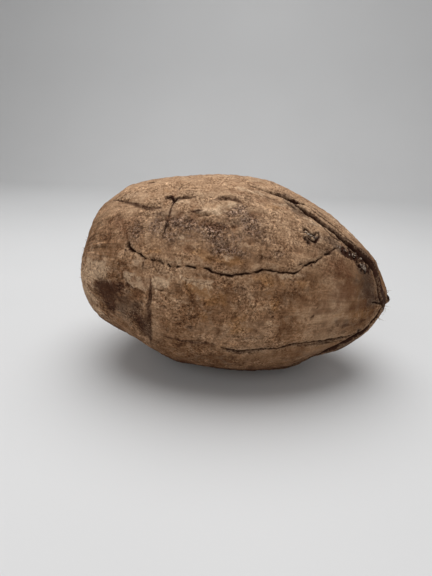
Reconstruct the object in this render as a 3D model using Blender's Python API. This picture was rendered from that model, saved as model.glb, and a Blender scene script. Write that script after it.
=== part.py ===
"""A dry coconut in its husk, lying on its side: one solid, in metres, +Z up.

The husk is an egg turned about its own axis, which runs from the stem end (station 0) to the tip
(station LENGTH). Its relief is added to that egg: three flat sides between three ridges, swells and
dents, cracks and folds, the scar of the stalk and the horny nub at the tip.

A place on the husk is written as (station, angle): the station along the axis in millimetres, and the
angle round it in degrees, where 0 faces -Y, 90 is up and 180 faces +Y.
"""

import math
from collections import namedtuple

import bmesh
import bpy
import numpy as np
from mathutils import Vector, geometry, noise

MM = 0.001

# The egg that the husk is built on
LENGTH = 253 * MM
RADIUS = 81 * MM
WIDEST = 118 * MM  # station of the greatest radius
STEM_FULLNESS = 2.55  # superellipse exponents: over 2 is blunt and under 2 pointed
TIP_FULLNESS = 1.72

# How it lies: tip a little low, on a small flat spot under its weight
TIP_DOWN = math.radians(3.8)
AXIS_HEIGHT = 77.2 * MM
CENTRE_STATION = 129.3 * MM
CENTRE_DEPTH = 2.9 * MM

# Three ridges run from end to end, a third of a turn apart, with a flatter side between each two
TOP_RIDGE = math.radians(64)
SIDE_RELIEF = 2.6 * MM

# The scar where the stalk broke off: a shallow cup with a raised rim
SCAR_RADIUS = 15 * MM
SCAR_DEPTH = 4.0 * MM
SCAR_RIM = 1.2 * MM
SCAR_RIM_WIDTH = 4 * MM
SCAR_RIM_PLACE = 1.35 * SCAR_RADIUS

# The dry nub that ends the tip
NUB_RADIUS = 4.4 * MM
NUB_HEIGHT = 3.8 * MM
NUB_DROP = 3.8 * MM  # how far below the end of the axis it stands

# Broad swells (height over 0) and dents. Place, reach along and round the husk, and height, in mm
Swell = namedtuple("Swell", "place reach height")
SWELLS = {
    "hollow_under_stem_end": Swell((36, -62), (36, 45), -8.0),
    "hollow_over_tip": Swell((222, 104), (30, 38), -4.0),
    "full_cheek_under_tip": Swell((228, -50), (20, 28), 1.8),
    "flatter_belly": Swell((95, -64), (60, 42), -4.2),
    "low_back_quarter": Swell((96, -116), (48, 42), 2.6),
    "low_stem_shoulder": Swell((12, 70), (16, 34), -2.4),
    "pressed_spot": Swell((36, -4), (13, 15), -1.8),
    "hollow_by_cross_fold": Swell((58, -4), (10, 24), -2.2),
    "sunk_panel": Swell((108, 42), (36, 18), -1.8),
    "front_belly": Swell((128, -4), (52, 26), 1.4),
    "sunk_back_panel": Swell((120, 142), (46, 24), -2.4),
    "back_dent": Swell((172, 224), (26, 20), -2.0),
    "back_stem_swell": Swell((48, 205), (26, 30), 2.2),
    "stem_face": Swell((5, -4), (16, 21), 2.5),
    "stem_corner": Swell((12, 68), (12, 26), 1.3),
    "notch_by_corner": Swell((24, 82), (7, 20), -1.1),
    "low_stem_cheek": Swell((12, -38), (16, 26), 1.7),
    "hollow_before_belly": Swell((48, -48), (18, 24), -1.7),
    "hollow_at_belly": Swell((68, -52), (18, 24), -2.1),
    "shallow_belly": Swell((125, -58), (34, 24), -1.6),
    "hollow_by_low_seam": Swell((200, -57), (16, 20), -3.0),
    "low_tip_cheek": Swell((234, -44), (13, 20), 1.9),
    "low_flap": Swell((214, -50), (9, 9), 1.8),
    "chin_of_tip": Swell((250, -24), (8, 14), 2.2),
    "flat_over_nub": Swell((247, 60), (8, 14), -2.4),
    "low_crown": Swell((58, 92), (24, 26), -1.8),
    "crown_hollow": Swell((80, 93), (20, 26), -1.5),
    "high_crown": Swell((144, 92), (22, 26), 2.8),
    "far_crown": Swell((208, 85), (20, 24), 0.9),
}

# Folds and cracks: a route of places, then depth, half width and step, in mm. A step lifts the skin on
# the left of the route, as seen from outside, and lowers it on the right
Crease = namedtuple("Crease", "route depth half_width step")
CREASES = {
    "long_crack": Crease(
        [(52, 30), (54, 26), (60, 24), (67, 22), (76, 22), (84, 20), (93, 21), (100, 21), (108, 21),
         (114, 20), (119, 19), (126, 19), (131, 20), (138, 21), (144, 24), (154, 24), (162, 25), (169, 26),
         (173, 30), (179, 33), (183, 35), (187, 39), (191, 42), (196, 47)],
        2.4, 1.7, 0.3),
    "top_fold": Crease(
        [(28, 64), (39, 59), (48, 54), (59, 51), (68, 51), (74, 55), (79, 56), (86, 57), (94, 58),
         (101, 57), (109, 59), (116, 60), (124, 59), (133, 57)],
        2.0, 2.4, 1.4),
    "top_seam": Crease(
        [(129, 74), (139, 72), (152, 71), (161, 71), (168, 68), (174, 65), (181, 62), (189, 60), (197, 57),
         (204, 56), (211, 54), (219, 53), (228, 52), (232, 50), (235, 44), (237, 35), (239, 26), (241, 15),
         (244, 5)],
        2.8, 2.1, 1.6),
    "lower_seam": Crease(
        [(92, -19), (101, -19), (116, -19), (127, -22), (142, -23), (154, -22), (164, -22), (172, -20),
         (183, -19), (196, -21), (208, -24), (220, -28), (229, -30), (236, -30)],
        1.8, 1.7, 0.7),
    "bottom_seam": Crease(
        [(166, -57), (180, -53.5), (190, -51), (197, -48.5), (203, -43.5), (209, -38.5), (215, -36),
         (221, -34.5), (226, -33.5), (231, -32.5), (235, -29.5), (239, -23), (242, -13), (245, -5)],
        2.6, 2.0, -1.4),
    "cross_fold": Crease([(71, 15), (72, 8), (72, 1), (72, -9), (73, -20), (74, -33)], 1.7, 2.0, -1.4),
    "short_crack": Crease([(79, 55), (78, 50), (77, 44), (76, 38), (76, 33)], 1.1, 1.4, 0.0),
    "back_seam": Crease(
        [(88, 176), (112, 181), (140, 187), (168, 188), (196, 187), (218, 184), (236, 182), (246, 178)],
        2.4, 2.1, 0.8),
    "back_crack": Crease(
        [(38, 138), (52, 134), (66, 137), (84, 133), (101, 128), (118, 130), (136, 124)],
        2.0, 1.7, 0.3),
    "under_crack": Crease(
        [(60, 236), (76, 241), (95, 238), (112, 244), (131, 243), (150, 249), (170, 246), (188, 250)],
        2.0, 1.7, 0.3),
    "under_fold": Crease([(66, 205), (68, 218), (66, 231), (70, 246)], 1.6, 2.0, 0.9),
}
FADE = 14 * MM  # a crease runs out over this length at each end
FADE_POWER = 0.7  # under 1, so that it keeps most of its depth until near the end
LIP = 0.3  # height of the lips beside a groove, as a share of its depth
LIP_PLACE = 2.3  # how far the lips stand from the groove, in half widths
STEP_REACH = 4  # how far a step is felt on both sides, in half widths

# Uneven drying: lumps and long wrinkles that run from end to end
LUMP_SIZE = 34 * MM
LUMP_HEIGHT = 0.9 * MM
WRINKLE_WIDTH = 17 * MM
WRINKLE_LENGTH = 75 * MM
WRINKLE_HEIGHT = 0.55 * MM

# The net of the surface: even rows of points, and strips of closer ones along each crease
NET_STEP = 7.0 * MM
NET_JITTER = 0.12  # share of the step by which points are moved off their row
STRIP_STEP = 3.0 * MM
STRIP_OFFSETS = (-2.7, -1.7, -0.8, 0, 0.8, 1.7, 2.7)  # in half widths of the crease
STRIP_GAP = 1.0 * MM  # points of crossing strips are thinned out to this
STRIP_CLEARANCE = 4.4 * MM  # no row point is nearer than this to the outer line of a strip
POLE_STEP = 1.6 * MM  # the first rows at each end are this close, and each next step is longer
POLE_GROWTH = 1.28
POLE_GAP = 0.002  # turn left out at each end, which a fan of triangles closes
CHART_STEPS = 20001
STRIP_END_GAP = 0.1  # no strip point is nearer than this to the end rings, in chart height
SEED = 4

HUSK_COLOUR = (0.30, 0.19, 0.11, 1)
HUSK_ROUGHNESS = 0.8


def meridian(turn):
    """Station and radius of the bare egg, where turn runs from 0 at the stem end to pi at the tip."""
    along, out = np.cos(turn), np.sin(turn)
    fullness = np.where(along > 0, STEM_FULLNESS, TIP_FULLNESS)
    reach = np.abs(along) ** (2 / fullness)
    station = np.where(along > 0, WIDEST * (1 - reach), WIDEST + (LENGTH - WIDEST) * reach)
    return station, RADIUS * np.abs(out) ** (2 / fullness)


def radius_at(station):
    """Radius of the bare egg at a station."""
    half = np.where(station < WIDEST, WIDEST, LENGTH - WIDEST)
    fullness = np.where(station < WIDEST, STEM_FULLNESS, TIP_FULLNESS)
    share = np.clip(np.abs(station - WIDEST) / half, 0, 1)
    return RADIUS * (1 - share**fullness) ** (1 / fullness)


def egg_point(station, radius, angle):
    """The point at a station, a radius and an angle in radians, in the husk's own frame."""
    return np.stack([station, -radius * np.cos(angle), radius * np.sin(angle)], -1)


def place(station_mm, angle_deg):
    """The bare egg's point at a place on the husk."""
    station = np.asarray(station_mm, float) * MM
    return egg_point(station, radius_at(station), np.radians(angle_deg))


def outward(points):
    """Unit vectors that point out of the egg, away from a spine inside it."""
    foot = np.zeros_like(points)
    foot[..., 0] = np.clip(points[..., 0], RADIUS, LENGTH - RADIUS)
    away = points - foot
    return away / np.linalg.norm(away, axis=-1, keepdims=True)


def side_relief(points, angle):
    """Flat sides between the ridges, fading out at both ends."""
    radius = np.hypot(points[..., 1], points[..., 2])
    return SIDE_RELIEF * np.cos(3 * (angle - TOP_RIDGE)) * (radius / RADIUS) ** 2


def swell_relief(points):
    """The broad swells and dents, each a smooth bump on its own side of the husk."""
    total = np.zeros(points.shape[:-1])
    for swell in SWELLS.values():
        angle = math.radians(swell.place[1])
        round_way = np.array([0, math.sin(angle), math.cos(angle)])
        gap = points - place(*swell.place)
        along = gap[..., 0] / (swell.reach[0] * MM)
        beside = gap @ round_way / (swell.reach[1] * MM)
        facing = np.clip(1.5 + 1.5 * (gap @ outward(place(*swell.place))) / RADIUS, 0, 1)
        this_side = facing**2 * (3 - 2 * facing)
        total += swell.height * MM * np.exp(-(along**2) - beside**2) * this_side
    return total


def crease_frame(points, route):
    """For each point: its distance beside the route (over 0 on the left), how near it is, and the way gone.

    The way gone is measured along the route from its start, and the last value is the route's length."""
    corners = place(*np.array(route, float).T)
    near = np.full(len(points), np.inf)
    beside = np.zeros(len(points))
    gone = np.zeros(len(points))
    length = 0.0
    for start, end in zip(corners[:-1], corners[1:]):
        run = end - start
        run_length = np.linalg.norm(run)
        share = np.clip((points - start) @ run / run_length**2, 0, 1)
        gap = points - start - share[:, None] * run
        distance = np.linalg.norm(gap, axis=1)
        left = np.cross(outward(start), run / run_length)
        closer = distance < near
        near[closer] = distance[closer]
        beside[closer] = (gap @ left)[closer]
        gone[closer] = (length + share * run_length)[closer]
        length += run_length
    return beside, near, gone, length


def crease_relief(points):
    """The folds and cracks: a groove with low lips, and a step from one side to the other."""
    total = np.zeros(len(points))
    for crease in CREASES.values():
        width = crease.half_width * MM
        beside, near, gone, length = crease_frame(points, crease.route)
        fade = np.clip(np.minimum(gone, length - gone) / FADE, 0, 1) ** FADE_POWER
        groove = np.exp(-((near / width) ** 2)) - LIP * np.exp(-((near / width - LIP_PLACE) ** 2))
        step = np.tanh(beside / width) * np.exp(-((near / width / STEP_REACH) ** 2))
        total += fade * MM * (crease.step * step - crease.depth * groove)
    return total


def end_relief(points):
    """The stalk's scar at the stem end and the nub at the tip."""
    radius = np.hypot(points[..., 1], points[..., 2])
    at_stem = points[..., 0] < WIDEST
    cup = -SCAR_DEPTH * np.exp(-((radius / SCAR_RADIUS) ** 4))
    rim = SCAR_RIM * np.exp(-(((radius - SCAR_RIM_PLACE) / SCAR_RIM_WIDTH) ** 2))
    from_nub = np.hypot(points[..., 1], points[..., 2] + NUB_DROP)
    nub = NUB_HEIGHT * np.exp(-((from_nub / NUB_RADIUS) ** 4))
    return np.where(at_stem, cup + rim, nub)


def drying_relief(points):
    """Lumps, and wrinkles that are much longer than they are wide."""
    angle = np.arctan2(points[:, 2], -points[:, 1])
    round_it = RADIUS / WRINKLE_WIDTH
    long_way = np.stack(
        [points[:, 0] / WRINKLE_LENGTH, round_it * np.cos(angle), round_it * np.sin(angle)], -1)
    lumps = np.array([noise.noise(p) for p in points / LUMP_SIZE])
    wrinkles = np.array([noise.noise(p) for p in long_way])
    radius = np.hypot(points[:, 1], points[:, 2])
    return LUMP_HEIGHT * lumps + WRINKLE_HEIGHT * wrinkles * np.minimum(radius / RADIUS * 1.5, 1)


def husk_points(turn, angle):
    """The husk's surface in its own frame, for arrays of turns and angles."""
    points = egg_point(*meridian(turn), angle)
    relief = side_relief(points, angle) + swell_relief(points) + crease_relief(points)
    relief += end_relief(points) + drying_relief(points)
    return points + outward(points) * relief[:, None]


def lie_down(points):
    """Turns the husk's own frame to the row's, and flattens what the fruit rests on."""
    x, y, z = points[:, 0] - CENTRE_STATION, points[:, 1] - CENTRE_DEPTH, points[:, 2]
    c, s = math.cos(TIP_DOWN), math.sin(TIP_DOWN)
    return np.stack([x * c + z * s, y, np.maximum(AXIS_HEIGHT - x * s + z * c, 0)], -1)


class Chart:
    """Unrolls the egg so that small shapes keep their form: angle across, and a stretched turn upward."""

    def __init__(self):
        self.turns = np.linspace(POLE_GAP, math.pi - POLE_GAP, CHART_STEPS)
        self.stations, self.radii = meridian(self.turns)
        step = np.hypot(np.diff(self.stations), np.diff(self.radii))
        middle = (self.radii[1:] + self.radii[:-1]) / 2
        self.lengths = np.concatenate([[0], np.cumsum(step)])
        self.heights = np.concatenate([[0], np.cumsum(step / middle)])

    def height_at(self, station):
        return np.interp(station, self.stations, self.heights)

    def turn_at(self, height):
        return np.interp(height, self.heights, self.turns)

    def row_lengths(self):
        """Meridian lengths of the rows and their steps, closer together towards both ends."""
        steps = [POLE_STEP]
        while sum(steps) < self.lengths[-1] / 2:
            steps.append(min(steps[-1] * POLE_GROWTH, NET_STEP))
        steps = np.array(steps)
        half = np.cumsum(steps) / sum(steps) * (self.lengths[-1] - NET_STEP) / 2
        return np.concatenate([half, self.lengths[-1] - half[::-1]]), np.concatenate([steps, steps[::-1]])

    def row_points(self, rng):
        """Rows of points round the egg, of which the first and last are the rings next to the ends."""
        rows = []
        for i, (length, step) in enumerate(zip(*self.row_lengths())):
            height = np.interp(length, self.lengths, self.heights)
            radius = np.interp(length, self.lengths, self.radii)
            count = max(8, round(2 * math.pi * radius / step))
            angles = (np.arange(count) + 0.5 * (i % 2)) * 2 * math.pi / count
            jitter = rng.uniform(-NET_JITTER, NET_JITTER, (2, count)) * step / radius
            rows.append(np.stack([angles + jitter[0], height + jitter[1]], -1))
        for ring in (rows[0], rows[-1]):
            ring[:, 1] = ring[0, 1]
        return rows[0], np.concatenate(rows[1:-1]), rows[-1]


def strip_points(crease):
    """Points of the bare egg in lines along a crease and beside it."""
    corners = place(*np.array(crease.route, float).T)
    runs = np.linalg.norm(np.diff(corners, axis=0), axis=1)
    gone = np.concatenate([[0], np.cumsum(runs)])
    stops = np.linspace(0, gone[-1], round(gone[-1] / STRIP_STEP) + 1)
    line = np.stack([np.interp(stops, gone, corners[:, k]) for k in range(3)], -1)
    way = np.gradient(line, axis=0)
    way /= np.linalg.norm(way, axis=1, keepdims=True)
    left = np.cross(outward(line), way)
    spread = np.array(STRIP_OFFSETS) * crease.half_width * MM
    return (line[None] + spread[:, None, None] * left[None]).reshape(-1, 3)


def thinned(points, gap):
    """The points without those nearer than gap to one that is kept."""
    kept = []
    for point in points:
        if not kept or np.min(np.linalg.norm(np.array(kept) - point, axis=1)) > gap:
            kept.append(point)
    return np.array(kept)


def net_places():
    """Turn and angle of each point of the net, and the triangles between them."""
    chart = Chart()
    rng = np.random.default_rng(SEED)
    first_ring, rows, last_ring = chart.row_points(rng)
    strips = thinned(np.concatenate([strip_points(crease) for crease in CREASES.values()]), STRIP_GAP)
    on_egg = egg_point(*meridian(chart.turn_at(rows[:, 1])), rows[:, 0])
    clear = [np.min(np.linalg.norm(strips - point, axis=1)) > STRIP_CLEARANCE for point in on_egg]
    strip_spots = np.stack([np.arctan2(strips[:, 2], -strips[:, 1]), chart.height_at(strips[:, 0])], -1)
    low, high = first_ring[0, 1], last_ring[0, 1]
    between = (strip_spots[:, 1] > low + STRIP_END_GAP) & (strip_spots[:, 1] < high - STRIP_END_GAP)
    strip_spots = strip_spots[between]
    spots = np.concatenate([first_ring, rows[clear], strip_spots, last_ring])
    spots[:, 0] = np.mod(spots[:, 0], 2 * math.pi)
    faces = closed_triangles(spots)
    turn = np.concatenate([chart.turn_at(spots[:, 1]), [0, math.pi]])
    angle = np.concatenate([spots[:, 0], [0, 0]])
    stem, tip = len(spots), len(spots) + 1
    faces += ring_fan(np.arange(len(first_ring)), spots, stem)
    faces += ring_fan(np.arange(len(spots) - len(last_ring), len(spots)), spots, tip)
    return turn, angle, faces


def ring_fan(ring, spots, pole):
    ring = ring[np.argsort(spots[ring, 0])]
    return [(int(pole), int(a), int(b)) for a, b in zip(ring, np.roll(ring, -1))]


def closed_triangles(spots):
    """Triangles between spots of the chart, joined up where the chart's two sides meet."""
    shifts = [(i, turn) for turn in (-1, 0, 1) for i in range(len(spots))]
    flat = [Vector((spots[i, 0] + turn * 2 * math.pi, spots[i, 1])) for i, turn in shifts]
    shown = [k for k, point in enumerate(flat) if -1 < point.x < 2 * math.pi + 1]
    result = geometry.delaunay_2d_cdt([flat[k] for k in shown], [], [], 0, 1e-7)
    faces = []
    for corners in result[2]:
        sources = [shown[result[3][corner][0]] for corner in corners]
        middle = sum(flat[k].x for k in sources) / 3
        if 0 <= middle < 2 * math.pi:
            faces.append(tuple(shifts[k][0] for k in sources))
    return faces


def husk_material():
    material = bpy.data.materials.new("dry_husk")
    material.use_nodes = True
    shader = material.node_tree.nodes["Principled BSDF"]
    shader.inputs["Base Color"].default_value = HUSK_COLOUR
    shader.inputs["Roughness"].default_value = HUSK_ROUGHNESS
    shader.inputs["Metallic"].default_value = 0.0
    return material


def make_coconut():
    turn, angle, faces = net_places()
    mesh = bpy.data.meshes.new("coconut")
    mesh.from_pydata(lie_down(husk_points(turn, angle)).tolist(), [], faces)
    bm = bmesh.new()
    bm.from_mesh(mesh)
    bmesh.ops.recalc_face_normals(bm, faces=bm.faces[:])
    bm.to_mesh(mesh)
    bm.free()
    mesh.shade_smooth()
    mesh.materials.append(husk_material())
    coconut = bpy.data.objects.new("coconut", mesh)
    bpy.context.scene.collection.objects.link(coconut)
    return coconut


def main():
    for obj in list(bpy.data.objects):
        bpy.data.objects.remove(obj)
    make_coconut()


main()
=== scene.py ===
"""Looks of a dry coconut in its husk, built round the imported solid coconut. Metres, +Z up.

The husk is the solid's egg with the same swells, folds and seams, on a much finer net, and with what is
too small for the solid: sharp cracks that wander, wrinkles, pocks, stains and fibres.

A place on the husk is written as (station, angle): the station along its axis in millimetres from the
stem end, and the angle round it in degrees, where 0 faces -Y, 90 is up and 180 faces +Y.
"""

import math
from collections import namedtuple

import bmesh
import bpy
import numpy as np
from mathutils import Matrix, Vector, geometry, kdtree, noise


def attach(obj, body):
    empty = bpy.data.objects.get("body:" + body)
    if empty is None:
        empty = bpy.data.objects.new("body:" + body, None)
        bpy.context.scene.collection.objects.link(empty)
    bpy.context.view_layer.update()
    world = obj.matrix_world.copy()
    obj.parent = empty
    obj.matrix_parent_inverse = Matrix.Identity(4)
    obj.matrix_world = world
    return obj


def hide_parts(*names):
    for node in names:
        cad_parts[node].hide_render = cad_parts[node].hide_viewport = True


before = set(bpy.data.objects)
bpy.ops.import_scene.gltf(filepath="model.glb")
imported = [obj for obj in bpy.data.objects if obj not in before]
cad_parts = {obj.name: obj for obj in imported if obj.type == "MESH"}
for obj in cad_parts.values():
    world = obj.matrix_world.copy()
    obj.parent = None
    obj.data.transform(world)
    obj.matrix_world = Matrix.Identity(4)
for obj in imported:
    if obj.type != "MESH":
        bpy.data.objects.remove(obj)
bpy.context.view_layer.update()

MM = 0.001
SEED = 4
WANDER_SEED = 5  # of the noise by which lines and stains wander
noise.seed_set(WANDER_SEED)

# The egg that the husk is built on
LENGTH = 253 * MM
RADIUS = 81 * MM
WIDEST = 118 * MM
STEM_FULLNESS = 2.55
TIP_FULLNESS = 1.72

# How it lies
TIP_DOWN = math.radians(3.8)
AXIS_HEIGHT = 77.2 * MM
CENTRE_STATION = 129.3 * MM
CENTRE_DEPTH = 2.9 * MM

TOP_RIDGE = math.radians(64)
SIDE_RELIEF = 2.6 * MM

# The scar where the stalk broke off: a shallow cup with a raised rim
SCAR_RADIUS = 15 * MM
SCAR_DEPTH = 4.0 * MM
SCAR_RIM = 1.2 * MM
SCAR_RIM_WIDTH = 4 * MM
SCAR_RIM_PLACE = 1.35 * SCAR_RADIUS

# Stubs of torn fibre in the scar, which smooth noise gathers into spokes
SPOKE_LENGTH = 9 * MM
SPOKE_TURNS = 7  # more makes them narrower
STUB_HEIGHT = 1.3 * MM
STUBS_BEGIN = (3 * MM, 8 * MM)  # radii over which they rise, and over which they run out
STUBS_END = (15 * MM, 24 * MM)
CORE_HEIGHT = 2.4 * MM
CORE_RADIUS = 7 * MM

# The dry nub that ends the tip
NUB_RADIUS = 4.4 * MM
NUB_HEIGHT = 3.8 * MM
NUB_DROP = 3.8 * MM  # how far below the end of the axis it stands
NUB_ROUGHNESS = 0.5 * MM
NUB_GRAIN = 2.2 * MM
NUB_ROUGH_RADIUS = 7 * MM

# Dark horn at both ends: radii over which it fades, and how far the spokes push its edge
SCAR_HORN = (9 * MM, 17 * MM)
SCAR_HORN_RAGGED = 2 * MM
SCAR_HORN_SHARE = 0.3
TIP_HORN = (3 * MM, 6.5 * MM)
TIP_HORN_RAGGED = 1.5 * MM
SCAR_RING_WIDTH = 2.6 * MM
SCAR_RING_RAGGED = 2.2 * MM
SCAR_RING_SHARE = 0.75

# Uneven drying: lumps, and long wrinkles that run from end to end
LUMP_SIZE = 34 * MM
LUMP_HEIGHT = 0.9 * MM
LONG_WRINKLES = (17 * MM, 75 * MM)  # width and length
LONG_WRINKLE_HEIGHT = 0.55 * MM

# Broad swells (height over 0) and dents. Place, reach along and round the husk, and height, in mm
Swell = namedtuple("Swell", "place reach height")
SWELLS = {
    "hollow_under_stem_end": Swell((36, -62), (36, 45), -8.0),
    "hollow_over_tip": Swell((222, 104), (30, 38), -4.0),
    "full_cheek_under_tip": Swell((228, -50), (20, 28), 1.8),
    "flatter_belly": Swell((95, -64), (60, 42), -4.2),
    "low_back_quarter": Swell((96, -116), (48, 42), 2.6),
    "low_stem_shoulder": Swell((12, 70), (16, 34), -2.4),
    "pressed_spot": Swell((36, -4), (13, 15), -1.8),
    "hollow_by_cross_fold": Swell((58, -4), (10, 24), -2.2),
    "sunk_panel": Swell((108, 42), (36, 18), -1.8),
    "front_belly": Swell((128, -4), (52, 26), 1.4),
    "sunk_back_panel": Swell((120, 142), (46, 24), -2.4),
    "back_dent": Swell((172, 224), (26, 20), -2.0),
    "back_stem_swell": Swell((48, 205), (26, 30), 2.2),
    "stem_face": Swell((5, -4), (16, 21), 2.5),
    "stem_corner": Swell((12, 68), (12, 26), 1.3),
    "notch_by_corner": Swell((24, 82), (7, 20), -1.1),
    "low_stem_cheek": Swell((12, -38), (16, 26), 1.7),
    "hollow_before_belly": Swell((48, -48), (18, 24), -1.7),
    "hollow_at_belly": Swell((68, -52), (18, 24), -2.1),
    "shallow_belly": Swell((125, -58), (34, 24), -1.6),
    "hollow_by_low_seam": Swell((200, -57), (16, 20), -3.0),
    "low_tip_cheek": Swell((234, -44), (13, 20), 1.9),
    "low_flap": Swell((214, -50), (9, 9), 1.8),
    "chin_of_tip": Swell((250, -24), (8, 14), 2.2),
    "flat_over_nub": Swell((247, 60), (8, 14), -2.4),
    "low_crown": Swell((58, 92), (24, 26), -1.8),
    "crown_hollow": Swell((80, 93), (20, 26), -1.5),
    "high_crown": Swell((144, 92), (22, 26), 2.8),
    "far_crown": Swell((208, 85), (20, 24), 0.9),
}

# Folds: a route of places, then depth, half width and step, in mm. A step lifts the skin on the left of
# the route, as seen from outside, and lowers it on the right
Crease = namedtuple("Crease", "route depth half_width step")
CREASES = {
    "long_crack": Crease(
        [(52, 30), (54, 26), (60, 24), (67, 22), (76, 22), (84, 20), (93, 21), (100, 21), (108, 21),
         (114, 20), (119, 19), (126, 19), (131, 20), (138, 21), (144, 24), (154, 24), (162, 25), (169, 26),
         (173, 30), (179, 33), (183, 35), (187, 39), (191, 42), (196, 47)],
        2.4, 1.7, 0.3),
    "top_fold": Crease(
        [(28, 64), (39, 59), (48, 54), (59, 51), (68, 51), (74, 55), (79, 56), (86, 57), (94, 58),
         (101, 57), (109, 59), (116, 60), (124, 59), (133, 57)],
        2.0, 2.4, 1.4),
    "top_seam": Crease(
        [(129, 74), (139, 72), (152, 71), (161, 71), (168, 68), (174, 65), (181, 62), (189, 60), (197, 57),
         (204, 56), (211, 54), (219, 53), (228, 52), (232, 50), (235, 44), (237, 35), (239, 26), (241, 15),
         (244, 5)],
        2.8, 2.1, 1.6),
    "lower_seam": Crease(
        [(92, -19), (101, -19), (116, -19), (127, -22), (142, -23), (154, -22), (164, -22), (172, -20),
         (183, -19), (196, -21), (208, -24), (220, -28), (229, -30), (236, -30)],
        1.8, 1.7, 0.7),
    "bottom_seam": Crease(
        [(166, -57), (180, -53.5), (190, -51), (197, -48.5), (203, -43.5), (209, -38.5), (215, -36),
         (221, -34.5), (226, -33.5), (231, -32.5), (235, -29.5), (239, -23), (242, -13), (245, -5)],
        2.6, 2.0, -1.4),
    "cross_fold": Crease([(71, 15), (72, 8), (72, 1), (72, -9), (73, -20), (74, -33)], 1.7, 2.0, -1.4),
    "short_crack": Crease([(79, 55), (78, 50), (77, 44), (76, 38), (76, 33)], 1.1, 1.4, 0.0),
    "back_seam": Crease(
        [(88, 176), (112, 181), (140, 187), (168, 188), (196, 187), (218, 184), (236, 182), (246, 178)],
        2.4, 2.1, 0.8),
    "back_crack": Crease(
        [(38, 138), (52, 134), (66, 137), (84, 133), (101, 128), (118, 130), (136, 124)],
        2.0, 1.7, 0.3),
    "under_crack": Crease(
        [(60, 236), (76, 241), (95, 238), (112, 244), (131, 243), (150, 249), (170, 246), (188, 250)],
        2.0, 1.7, 0.3),
    "under_fold": Crease([(66, 205), (68, 218), (66, 231), (70, 246)], 1.6, 2.0, 0.9),
}
FADE = 14 * MM  # a fold runs out over this length at each end
FADE_POWER = 0.7  # under 1, so that it keeps most of its depth until near the end
LIP = 0.3  # height of the lips beside a groove, as a share of its depth
LIP_PLACE = 2.3  # how far the lips stand from the groove, in half widths
STEP_REACH = 4  # how far a step is felt on both sides, in half widths
GROOVE_SHARE = 0.3  # what a fold keeps of its depth, since the sharp crack in it adds the rest
STEP_SHARE = 0.5  # and what it keeps of its step
FOLD_WEAR = 0.5  # pale worn skin beside a fold, its distance and its reach in half widths
FOLD_WEAR_PLACE = 1.76
FOLD_WEAR_REACH = 1.6

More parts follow.
